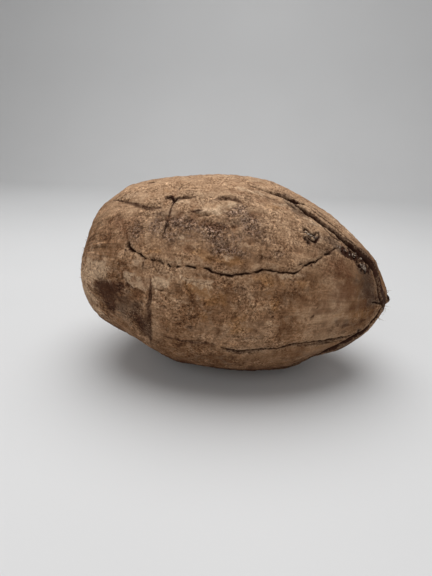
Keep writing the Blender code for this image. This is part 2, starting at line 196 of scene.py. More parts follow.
# Sharp cracks: a route of places, each with how open the crack is there (0 shut, 1 open, 2 gaping)
CRACKS = {
    "long_crack": [
        (52, 30.5, 1.2), (52, 29, 2.2), (53, 27.5, 3), (55, 26, 3.2), (57, 25.5, 2.2), (58, 25, 0.4),
        (59, 24.5, 0.6), (60.5, 24.5, 1.8), (62, 23.5, 1.9), (63.5, 23.5, 0.5), (65, 22.5, 0.9),
        (67, 22.5, 0.1), (68.5, 22, 0.1), (70, 22.5, 1.5), (71, 22, 1.7), (72.5, 22.5, 0.9),
        (73.5, 22, 0), (75, 22, 0.1), (76, 22.5, 2), (78, 21.5, 2.3), (79, 21, 1.2), (80, 21, 0),
        (81, 20.5, 0.1), (82, 21, 1.9), (83.5, 20, 2), (84.5, 20, 0.3), (86, 20, 0), (87.5, 20, 0.1),
        (88.5, 20.5, 1.5), (89.5, 20.5, 1.2), (90.5, 20.5, 0), (93, 21, 0.1), (94.5, 21, 1.3),
        (98, 21, 1.4), (100.5, 21, 1.5), (101.5, 21, 0), (106, 21, 0.1), (108, 21, 1.4),
        (111, 20.5, 1.6), (114, 20, 0.7), (116.5, 19.5, 0.7), (119, 19, 0.9), (122, 19, 1.5),
        (124, 19, 2), (126, 19, 1.8), (128.5, 20, 1.1), (131, 20, 1.1), (133.5, 20.5, 1.5),
        (135.5, 21, 1.1), (138, 21.5, 0.6), (140, 22.5, 0.7), (142, 23, 1.3), (144, 24, 1.7),
        (146.5, 24.5, 0.9), (149, 24.5, 1.5), (151, 24.5, 1.4), (154, 24.5, 1), (158, 24.5, 0.9),
        (162, 25, 0.7), (165, 25, 1.1), (167, 25, 1.8), (169, 25.5, 1.6), (170.5, 26.5, 0.9),
        (171.5, 28, 0.3), (173, 29.5, 0.7), (175, 30.5, 1.4), (177, 32, 1.9), (179, 33, 2),
        (181, 33.5, 1.8), (183, 35, 1.2), (186, 37, 0.9), (187.5, 39, 0), (188.5, 40.5, 0.9),
        (191, 42, 1.3), (193, 44, 0.5), (194.5, 46, 0.9), (196, 47.5, 0.6), (199, 48, 0.2)],
    "crack_stroke": [(169, 29.5, 0.3), (170.5, 30.5, 0.8), (172.5, 31, 0.3)],
    "top_left_fold": [
        (28, 67, 0.2), (35, 61, 0.3), (41, 57.5, 0.4), (48, 54.5, 0.4), (53, 52.5, 0.4), (59, 51, 0.4),
        (64, 50.5, 0.3), (70, 51, 0.2), (74, 53, 0.1)],
    "knot_left": [(73, 55.5, 0.2), (74, 56.5, 0.7), (76, 57, 1.1), (78.5, 56, 1.6), (79.5, 55, 1.5)],
    "knot_right": [
        (79.5, 55.5, 0.8), (81, 57, 0.8), (84, 57, 0.6), (88, 57, 0.5), (91, 58, 0.3), (94, 58.5, 0.1)],
    "short_crack": [
        (79.5, 55, 1.2), (79, 52, 0.3), (78.5, 50, 0.4), (78, 47.5, 0.5), (77.5, 44, 0.4),
        (77, 41, 0.6), (76.5, 38, 0.6), (76, 34, 0.3)],
    "panel_lines": [(112, 61, 0.1), (116, 62, 0.4), (121, 63, 0.1)],
    "panel_ridge": [(89, 49, 0.1), (92.5, 49.5, 0.5), (96, 50, 0.7), (100, 50, 0.4), (105, 51, 0.1)],
    "panel_ridge_low": [(98.5, 48, 0.1), (103.5, 48, 0.6), (107.5, 48.5, 0.1)],
    "top_slit": [(51, 77, 0.3), (54.5, 75, 1.1), (58, 74.5, 1.6), (60.5, 75, 1.2), (64, 76, 0.3)],
    "top_twig": [(79.5, 61.5, 0.3), (81, 64, 0.8), (83, 66, 0.3)],
    "cross_fold": [
        (72, 12, 0.1), (72, 9, 0.3), (72, 1, 0.4), (72, -9, 0.4), (72.5, -20, 0.3), (73, -27, 0.1)],
    "twig_crack": [(64.5, 22, 0.5), (64.5, 20.5, 0.6), (64, 18.5, 0.7), (64, 16.5, 0.2)],
    "front_lines": [
        (93.5, 14.5, 0.1), (97.5, 14, 0.4), (102, 14, 0.4), (106.5, 13.5, 0.3), (111, 13.5, 0.1)],
    "front_scratch": [(74, 7.5, 0.1), (78, 7, 0.6), (83, 7, 0.6), (88, 6.5, 0.3), (93, 5.5, 0.1)],
    "front_scratch_two": [(85.5, 12, 0.1), (89, 11.5, 0.5), (94, 11.5, 0.1)],
    "front_scratch_low": [(79, -1.5, 0.2), (82.5, -1, 0.5), (86, -1, 0.1)],
    "dry_check": [(131.5, 17, 0.1), (132, 15, 0.5), (132, 12.5, 0.1)],
    "dry_check_low": [(132, 8.5, 0.2), (133.5, 7, 0.8), (135.5, 6, 0.2)],
    "top_gap": [
        (129.5, 74.5, 0.3), (132, 73.5, 0.9), (135, 73, 0.8), (139, 72, 0.9), (143, 71.5, 0.9),
        (148, 71.5, 1), (152, 71, 1.5), (155.5, 71, 2.8), (158.5, 71, 4.2), (161.5, 71, 4.6),
        (164.5, 71, 4), (167.5, 71.5, 2.8), (171, 71.5, 1.2), (173, 71, 0.3)],
    "top_gap_under": [
        (136, 67.5, 0.2), (140, 67, 0.6), (144, 66, 0.7), (148.5, 66, 0.4), (152, 66, 0.1)],
    "grey_lip": [(155, 67, 0.2), (158.5, 66, 0.7), (162, 65.5, 0.9), (166, 64.5, 0.9), (170, 64, 0.5)],
    "top_seam": [
        (164, 68.5, 0.4), (167.5, 67.5, 1.3), (170.5, 66.5, 1.8), (174, 65, 1.8), (178, 64.5, 1.6),
        (182, 63.5, 1.6), (186, 61.5, 1.7), (190, 60.5, 1.7), (194, 59.5, 1.7), (197, 58.5, 1.7),
        (200, 57.5, 1.8), (204, 56.5, 1.9), (207.5, 55, 2.4), (211, 54, 2.7), (215, 53.5, 2.8),
        (219, 52.5, 2.9), (223, 52.5, 2.9), (227.5, 52, 2.8), (232, 49.5, 2.6), (235, 44, 2.4),
        (237, 35.5, 2.2), (239, 26, 2.1), (241, 15, 2), (243, 8, 1.8), (244, 4, 1.2)],
    "top_seam_outer": [
        (174.5, 70, 0.4), (178.5, 68.5, 1.2), (183, 68, 1.1), (188, 67, 1), (193, 66, 1.3),
        (197, 64.5, 1.4), (201, 63, 1.2), (205.5, 61, 1.3), (211, 59, 1.6), (216, 57.5, 1.5),
        (222, 57.5, 1.3), (228, 57.5, 1.2), (234, 55, 1.2), (239, 47, 1.2), (242, 31, 0.9)],
    "top_seam_inner": [
        (174.5, 65, 0.6), (177, 64, 1.3), (180, 63, 1.4), (183.5, 61.5, 1.5), (187, 59, 1.4),
        (190.5, 56.5, 1.5), (194, 55.5, 1.3), (197.5, 55.5, 0.9), (200, 55.5, 0.4)],
    "lower_seam": [
        (94.5, -21, 0.1), (101, -19.5, 0.4), (109, -19, 0.4), (116, -19, 0.4), (122, -20.5, 0.6),
        (127, -22, 1), (131.5, -22.5, 1.7), (136.5, -23, 2.2), (142, -23, 2.4), (148, -22.5, 2),
        (153.5, -22, 1.8), (159, -21.5, 1.4), (163.5, -22, 0.9), (168.5, -21, 1.1), (172.5, -20, 1.4),
        (177.5, -19.5, 1.5), (183, -19.5, 1.7), (189, -20, 1.7), (195.5, -21.5, 1.6), (202, -23, 1.6),
        (208, -24, 1.6), (213, -25.5, 1.8), (220, -28, 1.6), (225, -29.5, 1.3), (229, -30, 0.9),
        (233, -29.5, 0.4)],
    "lower_seam_two": [
        (130, -24.5, 0.2), (134.5, -25, 0.8), (141, -25.5, 0.9), (147, -25, 0.8), (152, -24.5, 0.5),
        (157, -23.5, 0.1)],
    "lower_seam_three": [
        (183, -21, 0.2), (189.5, -22.5, 0.7), (197, -24.5, 0.8), (204, -26.5, 0.8), (210.5, -28.5, 0.5),
        (216, -30, 0.1)],
    "upper_line_right": [(199, -18, 0.1), (204.5, -17.5, 0.5), (210, -17.5, 0.5), (216, -18.5, 0.1)],
    "left_lower_fold": [(79.5, -18.5, 0.1), (85, -19, 0.4), (91.5, -19, 0.4), (99, -19.5, 0.1)],
    "bottom_seam": [
        (172, -56, 0.7), (180, -53.5, 1.2), (190, -51, 2), (197, -48.5, 2.6), (203, -43.5, 3),
        (209, -38.5, 3.4), (215, -36, 3.4), (221, -34.5, 3.4), (226, -33.5, 3), (231, -32.5, 2.8),
        (235, -29.5, 2.6), (239, -23, 2.2), (242, -13, 1.8), (245, -5, 1)],
    "tip_notch": [
        (233, 9, 0.2), (236, 8, 1.2), (239, 6.5, 2), (243, 2.5, 2.6), (246, -8, 2.2),
        (247.5, -22, 1.2)],
    "knot_upper": [
        (171, 48.5, 1.2), (171, 50.5, 1.8), (172.5, 52, 2.4), (174.5, 51.5, 1.6), (176, 50.5, 1.4),
        (178, 50, 1.8), (179.5, 51, 2.2), (180, 53, 1)],
    "knot_lower": [
        (172, 47.5, 0.5), (173.5, 47, 1.4), (175.5, 46.5, 1.2), (177.5, 46, 1.8), (180, 46, 2.4),
        (182, 48, 2.2), (182.5, 50, 2.4), (182, 52.5, 1.6), (180.5, 53, 0.8)],
    "knot_middle": [
        (172.5, 49.5, 0.4), (174, 49, 1), (175.5, 48, 0.7), (176.5, 47.5, 1.1), (178, 48, 0.4)],
    "back_seam": [
        (88, 176, 0.3), (100, 179, 0.8), (112, 181, 1), (126, 184, 0.6), (140, 187, 1.1),
        (154, 188, 1.4), (168, 188, 1), (182, 187, 0.5), (196, 187, 1.1), (208, 185, 1.3),
        (218, 184, 1), (236, 182, 1.1), (246, 178, 0.8)],
    "back_seam_two": [
        (150, 182, 0.4), (163, 183, 0.8), (178, 183, 0.9), (192, 184, 0.6), (204, 184, 0.3)],
    "back_crack": [
        (38, 138, 0.4), (45, 136, 1.2), (52, 134, 0.9), (59, 136, 0.3), (66, 137, 1), (75, 135, 1.3),
        (84, 133, 0.8), (93, 130, 0.2), (101, 128, 0.9), (110, 129, 1.1), (118, 130, 0.7),
        (136, 124, 0.3)],
    "back_twig": [(84, 133, 0.7), (88, 139, 0.6), (95, 143, 0.4), (101, 149, 0.2)],
    "under_crack": [
        (60, 236, 0.4), (68, 239, 1.1), (76, 241, 1), (85, 240, 0.3), (95, 238, 0.9), (103, 241, 1.4),
        (112, 244, 1.2), (131, 243, 0.6), (141, 246, 1.1), (150, 249, 1), (170, 246, 0.4),
        (188, 250, 0.3)],
    "under_fold": [(66, 205, 0.2), (68, 218, 0.7), (66, 231, 0.6), (70, 246, 0.2)],
    "top_check": [(104, 104, 0.2), (113, 103, 0.6), (122, 105, 0.8), (131, 103, 0.5), (139, 104, 0.2)],
    "top_check_two": [(176, 116, 0.3), (186, 118, 0.8), (197, 117, 0.9), (207, 120, 0.4)],
    "under_check": [(120, 276, 0.3), (133, 279, 0.8), (148, 277, 0.7), (160, 280, 0.3)],
}

# Bands of stains and of painted shade: kind, strength, and a route of places, each with the band's half
# width there in mm
BANDS = {
    "seam_right": ("umber", 1.6, [
        (158, 70, 0.8), (170, 67, 1), (185, 62.5, 1.2), (197, 59, 1.6), (205, 57, 2.8), (212, 56, 4),
        (220, 56, 5), (228, 56, 5.2), (234, 54, 5.4), (240, 44, 5), (243, 28, 4.6), (246, 8, 4)]),
    "seam_right_core": ("black", 0.85, [
        (202, 57, 0.8), (208, 56, 1.8), (214, 55, 2.8), (222, 54.6, 3.2), (229, 54.5, 3.2),
        (234, 51, 3), (239, 42, 3), (242, 27, 2.8), (245, 8, 2.8)]),
    "seam_shade": ("slate", 1.3, [
        (155, 68, 0.8), (160, 66.5, 1.6), (166, 65, 2.2), (171, 63, 1.6), (176, 61.5, 0.6)]),
    # Painted shadow in the bottom seam's deep fold
    "seam_bottom_painted_shadow": ("black", 1.15, [
        (190, -51.5, 0.6), (198, -49, 0.9), (204, -43.5, 1.2), (214, -37, 1.5), (225, -34.5, 1.6),
        (233, -32.5, 1.6), (239, -24, 1.4), (243, -11, 1)]),
    # Painted shade on the flap under the bottom seam
    "bottom_flap_painted_shade": ("slate", 0.9, [
        (198, -53, 1.6), (206, -47, 3), (214, -43, 3.8), (222, -40.5, 3.6), (229, -38, 2.6)]),
    # Painted shade along the top left fold
    "top_left_fold": ("umber", 1, [
        (28, 66, 0.5), (35, 60.8, 0.8), (41, 57, 1), (48, 54, 1.2), (55, 51.8, 1.5), (61, 50.4, 1.6),
        (66, 50, 1.6), (71, 50.5, 0.9)]),
    # Painted shadow along the fold at the top of the panel
    "panel_fold_painted_shadow": ("umber", 0.7, [
        (101, 55.5, 0.8), (106, 57.5, 1.7), (113, 59, 2), (120, 58.4, 1.7), (127, 57, 0.8)]),
    "panel_spot": ("umber", 0.9, [(93, 49.4, 1), (97, 49.8, 1.6), (100, 50, 0.7)]),
    "knot_shade": ("umber", 0.6, [
        (72, 56, 1), (76, 57, 2), (80, 55.5, 2.6), (86, 57, 1.6), (93, 58, 0.8)]),
    "short_crack": ("umber", 0.7, [(79, 54, 1.4), (78, 48, 1.2), (77, 41, 1.3), (76, 33, 0.9)]),
    # Painted shade on the left side of the cross fold
    "cross_fold": ("umber", 0.9, [
        (70.6, 12, 0.6), (70.6, 6, 1.4), (70.5, -4, 1.8), (70.6, -14, 2), (71, -24, 1.8),
        (72, -33, 1)]),
    "top_slit": ("umber", 0.9, [(53, 75.5, 0.8), (58, 74.3, 1.5), (63, 75.5, 0.8)]),
    "lower_seam": ("umber", 0.7, [
        (128, -23, 0.8), (142, -24, 1.7), (154, -22.7, 1), (172, -20.5, 0.8), (202, -24, 1),
        (222, -29.5, 1)]),
    # Painted shade along the fold left of the lower seam
    "left_lower_fold": ("umber", 0.7, [
        (80, -20, 0.8), (92, -20.5, 1.6), (104, -20.5, 1.8), (118, -20.5, 1.2)]),
}

# Raised wrinkles, each with a hollow on the right of its route: height in mm, and a route of places
WRINKLES = {
    "panel_upper": (0.8, [(92.5, 49), (99.5, 49), (105, 50), (111, 51)]),
    "panel_top": (0.8, [(101.5, 56), (109, 59), (117, 61), (124, 60), (129.5, 57.5)]),
    "panel_side": (0.6, [(134, 56.5), (140.5, 55), (144.5, 51.5), (146, 46), (144.5, 40.5)]),
    "panel_low": (0.8, [
        (91, 27.5), (93.5, 29.5), (97.5, 31.5), (103, 30), (107.5, 28), (113, 27), (119, 27)]),
    "by_short_crack": (0.6, [(78.5, 32), (82.5, 36), (87, 38.5), (92, 40)]),
    "by_blotch": (1, [(48, 14.5), (51, 12), (54, 8.5), (59, 6), (64, 6), (69, 9)]),
    "by_cross_fold": (0.8, [(74.5, 12.5), (78, 10.5), (82.5, 9.5), (88, 9)]),
    "under_crack_front": (0.35, [(96, 16), (103, 15.5), (112, 15), (116, 14.5)]),
    "left_arc": (0.6, [(51, 47.5), (55.5, 48.5), (60.5, 47.5), (65.5, 45)]),
    "left_arc_low": (0.6, [(51, 40.5), (50.5, 36), (52, 31)]),
    "panel_middle": (0.6, [(117.5, 43.5), (121.5, 47), (126.5, 48.5), (131, 47)]),
    "panel_lower_right": (0.6, [(126, 34), (130, 36.5), (134.5, 38), (139, 36.5)]),
    "back_high": (0.8, [(96, 112), (108, 115), (121, 113), (133, 117)]),
    "back_side": (0.7, [(150, 150), (162, 155), (174, 153), (186, 158)]),
    "back_stem": (0.8, [(48, 188), (58, 184), (70, 186), (80, 182)]),
}
WRINKLE_WIDTH = 1.25 * MM
WRINKLE_FADE = 6 * MM
WRINKLE_FOOT = 0.7  # depth of the hollow, as a share of the height
WRINKLE_FOOT_PLACE = 2  # its distance, in wrinkle widths
WRINKLE_WEAR = 0.6  # the lip tone on the crest
WRINKLE_PAINTED_SHADE = 0.55  # painted shade: the umber tone at the foot, on one side

CRACK_DEPTH = 1.5 * MM
CRACK_WIDTH = 0.62 * MM
SHUT_WIDTH = 0.55  # share of that width which a shut crack has
MOST_CUT = 1.5  # a crack that gapes more gets wider, not deeper
CRACK_LIP = 0.16 * MM
CRACK_LIP_PLACE = 2.04  # from the crack, in crack widths, and reach of the lip
CRACK_LIP_REACH = 1.2
CRACK_WEAR = 0.6
BLACK_REACH = 1.05  # how far the dark of a crack goes, in crack widths
BLACK_WHEN = (0, 0.8)  # how open a crack is where it starts and ends to turn dark
HALO = 0.5  # brown stain along a crack
HALO_REACH = 2
HALO_WHEN = (0.1, 1.2)
RAGGED = 0.45  # by what share noise opens and shuts a crack along its way
RAGGED_LENGTH = 3.2 * MM
RAGGED_SHIFT = 9.7  # sets the noise of each crack apart
RAGGED_REACH = 5 * MM

# Pits with a raised rim and black crust: station, angle, radius and depth in mm
PITS = [
    (200.5, 47, 1.2, 0.9), (202, 50.5, 1, 0.8), (204.3, 46.8, 1.3, 0.9), (207.6, 49, 1.3, 1),
    (207, 52.5, 1.1, 0.9), (210.7, 50.5, 1.4, 1), (211.5, 46.8, 1.2, 0.9), (214.5, 49, 1.3, 1),
    (214, 44.5, 1, 0.9), (218.5, 47.5, 1.4, 1), (216.3, 41.5, 1.3, 0.9), (218.7, 39, 1.2, 0.9),
    (222.4, 38.8, 1.4, 1), (225.6, 40, 1.2, 0.9), (223.4, 48.8, 1.4, 1), (226.5, 45.5, 1.3, 0.9),
    (226, -25.5, 1.6, 0.8), (172.4, 45.6, 1.1, 0.7), (174.4, 44.4, 1.2, 0.7), (107, 152, 1.2, 0.8),
    (142, 160, 1.1, 0.7), (171, 149, 1.4, 0.9), (188, 205, 1.2, 0.8), (129, 215, 1.3, 0.8),
]
PIT_RIM = 0.55  # height as a share of the depth, then place and reach in pit radii
PIT_RIM_PLACE = 1.5
PIT_RIM_REACH = 0.4472
PIT_DARK, PIT_DARK_REACH = 0.95, 1.15  # the dark tone in the pit
PIT_CRUST, PIT_CRUST_REACH = 0.9, 1.9  # the slate tone, which reaches farther out

# Dark spots: station, angle and reach in mm
SPOTS = [
    (92.3, -10.6, 1.9), (92.2, -18.6, 1.6), (152.6, 17, 1.9), (155.4, 13, 1.2), (153.4, 5, 1.6),
    (155, 0.7, 1.7), (158.4, -2.6, 1.6), (161, -6, 1.5), (166, -5.5, 1.4), (160.4, -13.3, 1.5),
    (111, -7.8, 1.4), (122, -11.4, 1.5), (122.7, -16.6, 1.5), (103, 0.7, 1.3), (141.6, 6.6, 1.4),
    (144.8, 4, 1.9), (144.2, 7, 1.2), (157, 30, 1.5), (154.7, 28.4, 1.4), (126, 7.2, 1.2),
    (147.7, 17.6, 1.2), (142.7, 19.2, 1.4), (172.3, 12.5, 1.8), (187.2, 5, 1.1), (186, 0, 1.3),
    (183, -1, 1.3), (108, 5.4, 1.2), (100, 2, 1.2), (79.5, -11, 1.5), (46, 5, 2), (130.6, -4.7, 1.4),
    (116, 12, 1.1), (137, 12, 1.2), (149, 9, 1.3), (124, 1, 1.2), (147, -9, 1.3), (136, -14, 1.4),
]
SPOT_STRENGTH = 0.8

# Stains by kind: place, reach along and round the husk in mm, and strength. The long ones low on the belly
# are stains that also darken it as painted shade
STAINS = {
    "umber": [
        ((33, -2), (11, 11), 1.15), ((38, -13), (7, 7), 0.9), ((46, 2), (8, 6), 0.5),
        ((60, -16), (9, 12), 0.65), ((66, -18), (5, 12), 0.8), ((34, -44), (26, 12), 0.4),
        ((41, 47), (6, 4), 0.3), ((55, 41), (4, 6), 0.35), ((46, 40), (5, 5), 0.25),
        # Long stains low on the belly: stains, and also painted shade of the belly
        ((190, -54), (50, 6), 0.6), ((100, -58), (60, 14), 0.7), ((120, -48), (60, 6), 0.3),
        ((228, 60), (14, 5), 0.6), ((155, 74), (12, 2), 0.5), ((247, 2), (4, 6), 0.8),
        ((104, 46), (9, 3), 0.5), ((108, 41), (9, 3), 0.55), ((130, 60), (8, 3), 0.4),
        ((72, 43), (4, 7), 0.6), ((145, 43), (14, 5), 0.4), ((183, 43), (15, 5), 0.55),
        ((150, 64), (22, 5), 0.4), ((205, -40), (30, 6), 0.45), ((212, -12), (26, 1.8), 0.4),
        ((218, -19), (24, 1.8), 0.4), ((222, -24), (16, 2), 0.35), ((210, -8), (16, 7), 0.25)],
    "slate": [
        ((50, -9), (12, 14), 0.85), ((62, -4), (5, 9), 0.5), ((62, 49), (12, 3), 0.4),
        ((112, 34), (13, 6), 0.5), ((122, 46), (9, 5), 0.5), ((164, 66), (7, 2), 1.1),
        ((183, 72), (8, 2.5), 0.8), ((129, 12), (9, 6), 0.4), ((116, -3), (8, 6), 0.4),
        ((101, -9), (12, 6), 0.4), ((140, -12), (16, 6), 0.4), ((219, 30), (13, 10), 0.5),
        ((209, -10), (18, 4), 0.5), ((230, 22), (10, 14), 0.7), ((163, 12), (7, 4), 0.5),
        ((170, 38), (14, 6), 0.25), ((196, -31), (26, 7), 0.4), ((195, 49), (9, 4), 0.9),
        ((168, 61), (12, 4), 0.6), ((188, 52), (12, 5), 0.5), ((120, -32), (40, 10), 0.4)],
    "rough": [
        ((56, 40), (6, 5), 0.6), ((71, 40), (6, 8), 0.8), ((84, 44), (7, 5), 1),
        ((92, 43), (7, 5), 0.8), ((102, 42), (8, 4), 0.6), ((112, 43), (8, 5), 0.8),
        ((110, 37), (8, 4), 1), ((120, 51), (8, 4), 1.1), ((127, 54), (5, 3), 0.8),
        ((118, 31), (10, 4), 1.1), ((125, 38), (5, 4), 0.7), ((135, 48), (7, 5), 1.1),
        ((135, 43), (6, 4), 1), ((132, 30), (5, 3), 0.5), ((155, 31), (7, 3), 0.5),
        ((82, 35), (6, 5), 0.7), ((145, 39), (8, 4), 0.5), ((56, 34), (5, 5), 0.6),
        ((96, 36), (8, 5), 0.4)],
    "ochre": [
        ((101, 27.5), (5, 2.6), 1.1), ((107, 27), (5, 2.4), 0.9), ((114, 25.5), (5, 2), 0.8),
        ((127, 26), (7, 3), 1.3), ((101, 11), (6, 5), 1.1), ((109, 11.5), (5, 4), 0.9),
        ((90, 22.6), (5, 2), 0.7), ((146, 19), (8, 3), 0.9), ((151, 14), (5, 3), 0.7),
        ((156.5, 7), (5, 4), 1), ((131, -7), (5, 5), 0.8), ((135, -1.6), (5, 4), 0.6),
        ((112, 6), (7, 4), 0.8), ((127, -19), (8, 3), 0.6), ((70, 25), (6, 2), 0.7),
        ((121, 9), (5, 6), 0.8), ((172, 20), (6, 3), 0.6), ((203, -3), (10, 3), 0.5),
        ((158, 19), (5, 3), 0.5), ((140, -8), (5, 3), 0.6), ((205, -26), (20, 3), 0.5),
        ((111, -4), (5, 4), 0.5), ((150, 60), (12, 4), 0.4), ((76, 62), (12, 5), 0.3)],
    "pale": [
        ((54, 11.7), (4, 3), 1.3), ((52, 7), (3, 3), 0.7), ((63, 8.5), (6, 2.5), 1.3),
        ((80, 10.5), (6, 2.2), 1.2), ((71, 10), (5, 2), 0.6), ((87, 22.4), (4, 2), 0.6),
        ((60, 19), (6, 3), 0.8), ((130, 68), (16, 3), 0.7), ((52, 60), (14, 4), 0.5),
        ((108, 52), (7, 1.8), 1), ((98, 50.5), (4, 1), 0.8), ((91, 34), (7, 4), 0.7),
        ((128, 34.5), (6, 3), 0.7), ((120, 27.5), (4, 2), 0.7), ((161, 21.6), (9, 2), 0.7),
        ((172, 24.5), (5, 2), 0.8), ((86, 55), (5, 1.6), 0.7), ((114, 55), (8, 2), 0.6),
        ((158, 63), (9, 2), 0.8), ((176, 61), (10, 1.4), 0.8), ((110, 84), (44, 10), 0.5),
        ((98, 15), (18, 4), 0.5), ((77, 3), (3, 14), 0.6), ((212, -6), (14, 3), 0.4),
        ((174.5, 49.5), (3, 1), 1.2), ((178.5, 48.5), (3, 1.2), 1.3), ((30, 30), (20, 4), 0.3),
        ((196, 76), (26, 3), 0.6), ((22, 8), (15, 12), 0.8), ((12, -14), (12, 14), 0.85),
        ((24, -30), (12, 7), 0.6), ((26, 14), (12, 8), 0.5), ((108, 12), (14, 5), 0.4),
        ((100, 56), (20, 5), 0.25)],
    "rust": [
        ((196, 34), (13, 9), 0.8), ((207, 19), (13, 10), 0.7), ((193, 11), (13, 7), 0.4),
        # The long rust stains low on the belly are also painted shade of the belly
        ((217, 2), (13, 6), 0.5), ((232, 5), (9, 9), 0.5), ((150, -50), (60, 9), 0.7),
        ((50, 36), (8, 9), 0.7), ((205, 55), (14, 4), 0.6), ((38, 44), (9, 7), 0.6),
        ((30, 34), (9, 5), 0.5), ((80, -48), (30, 10), 0.6)],
    "black": [
        ((176, 49), (5, 2.6), 0.5), ((181, 49), (2.4, 3.4), 0.6), ((203, 48), (6, 2.6), 1),
        ((211, 49), (7, 3), 1.1), ((219, 44), (6, 5), 1), ((224, 41), (4, 3), 0.9),
        ((53.6, 27.6), (2.6, 2.4), 1.1), ((78, 56), (4, 2), 0.8), ((178, 32.5), (6, 2), 0.7),
        ((247, 0), (3, 6), 0.7), ((161, 71.5), (7, 1.6), 0.8), ((222, 54), (13, 3), 0.7)],
    "crinkled": [
        ((84, 44), (16, 9), 0.7), ((108, 45), (24, 12), 0.9), ((128, 48), (12, 8), 0.8),
        ((66, 8), (16, 7), 0.8), ((88, 28), (14, 6), 0.5), ((96, 104), (30, 20), 0.6),
        ((170, 150), (26, 16), 0.7), ((70, 190), (20, 16), 0.6)],
    "calm": [((208, 8), (34, 40), 1), ((180, -30), (40, 12), 0.5)],
    "streak": [((14, 30), (28, 60), 1), ((20, -20), (22, 30), 0.6)],
}
BACK_STAINS = 54  # stains strewn over what faces away from the camera
BACK_KINDS = ("umber", "slate", "ochre", "pale", "rust", "rough", "umber", "pale", "ochre")
MARKS = ("crack", "lip", "horn", "paler_on_top", "low", "hollow", "ridge", *STAINS)
PALER_ON_TOP_WHEN = (0.15, 0.95)  # how much the skin faces up where it starts to turn paler and is palest
UNDERSIDE_PAINTED_SHADE_WHEN = (0.0, -0.8)  # and how much it faces down where the painted shade of the underside starts and is darkest

# How lines and stains wander off their routes: reach and size of the waves, and a shift that sets each
# noise apart from the others
LINE_WANDERS = ((1.1 * MM, 8 * MM, 0), (0.5 * MM, 2.4 * MM, 7))
STAIN_WANDERS = ((4 * MM, 20 * MM, 3), (2.2 * MM, 6 * MM, 5))
CRINKLE_WANDER = (3 * MM, 7 * MM, 9)
CREPE_WANDER = (4 * MM, 9 * MM, 29)

# Fine relief: width and length of the shapes that run along the husk, or size of the others, then shift
FINE_WRINKLES = (6.5 * MM, 38 * MM, 2)
FINE_FIBRES = (3 * MM, 26 * MM, 8)
LUMPS = (9 * MM, 4)
GRIT = (3.4 * MM, 11)
CRUMBS = (2.6 * MM, 6)
CRINKLES = (6 * MM, 19)
CREPE = (8.5 * MM, 33)
PATCHES = (30 * MM, 15)

# Heights of that relief in mm
WRINKLE_RISE, FIBRE_RISE, LUMP_RISE = 0.42, 0.16, 0.42
CRINKLE_RISE, GRIT_RISE = 0.75, 0.24
CREPE_RISE, CREPE_CRINKLE_RISE = 2.2, 0.8
ROUGH_CRUMB_RISE, ROUGH_GRIT_RISE = 0.5, -0.3
CRINKLE_BASE = 0.2  # of the noise, at which crinkles neither rise nor sink
CREPE_BASE = 0.16
CALMING = 0.75  # share of the fine relief that calm skin lacks
HOLLOW_PAINTED_SHADE_WHEN = (0.05 * MM, -0.75 * MM)  # heights between which the skin's hollows turn to painted shade
RIDGE_PAINTED_HIGHLIGHT_WHEN = (0.15 * MM, 0.9 * MM)  # and between which its ridges turn to a painted highlight

# Shallow pocks, one in a few cells of a cell pattern
POCK_CELL = 7 * MM
POCK_SHARE = 0.45  # of the cells that have none
POCK_DEPTH = 0.42 * MM
POCK_REACH = 0.2  # in cells

# The net of the surface: rows of points round it, closer towards the ends, with lines of closer
# points along the strip routes and rings of them over the pits
NET_STEP = 1.5 * MM
NET_JITTER = 0.2  # share of the row's step by which its points are moved at random
POLE_STEP = 0.7 * MM
POLE_GROWTH = 1.12
STRIP_STEP = 0.75 * MM
STRIP_OFFSETS = np.array([-3.3, -2.3, -1.7, -1.15, -0.6, 0, 0.6, 1.15, 1.7, 2.3, 3.3]) * MM
STRIP_GAP = 0.45 * MM
STRIP_CLEARANCE = 1.15 * MM
STRIP_END_GAP = 0.1  # no strip point is nearer than this to the end rings, in chart height
POLE_GAP = 0.002  # turn left out at each end, which a fan of triangles closes
CHART_STEPS = 20001
CHART_OVERLAP = 0.4  # turn by which the chart is repeated past its two sides
PIT_NET_REACH = 2.6  # in pit radii
PIT_NET_STEP = 0.6  # mm

# The photograph's camera, which sees the husk's axis at the aim station in the aim pixel
IMAGE_SIZE = (432, 576)
FOCAL_PIXELS = 433
SENSOR_WIDTH = 36
CAMERA_YAW = math.radians(5)
CAMERA_PITCH = math.radians(21)
CAMERA_ROLL = math.radians(2.1)
CAMERA_DISTANCE = 368 * MM
AIM_STATION = 126.5 * MM
AIM_PIXEL = (235, 276)


def meridian(turn):
    """Station and radius of the bare egg, where turn runs from 0 at the stem end to pi at the tip."""
    along, out = np.cos(turn), np.sin(turn)
    fullness = np.where(along > 0, STEM_FULLNESS, TIP_FULLNESS)
    reach = np.abs(along) ** (2 / fullness)
    station = np.where(along > 0, WIDEST * (1 - reach), WIDEST + (LENGTH - WIDEST) * reach)
    return station, RADIUS * np.abs(out) ** (2 / fullness)


def radius_at(station):
    half = np.where(station < WIDEST, WIDEST, LENGTH - WIDEST)
    fullness = np.where(station < WIDEST, STEM_FULLNESS, TIP_FULLNESS)
    share = np.clip(np.abs(station - WIDEST) / half, 0, 1)
    return RADIUS * (1 - share**fullness) ** (1 / fullness)


def egg_point(station, radius, angle):
    """The point at a station, a radius and an angle in radians, in the husk's own frame."""
    return np.stack([station, -radius * np.cos(angle), radius * np.sin(angle)], -1)


def place(station_mm, angle_deg):
    station = np.asarray(station_mm, float) * MM
    return egg_point(station, radius_at(station), np.radians(angle_deg))


def angle_of(points):
    return np.arctan2(points[..., 2], -points[..., 1])


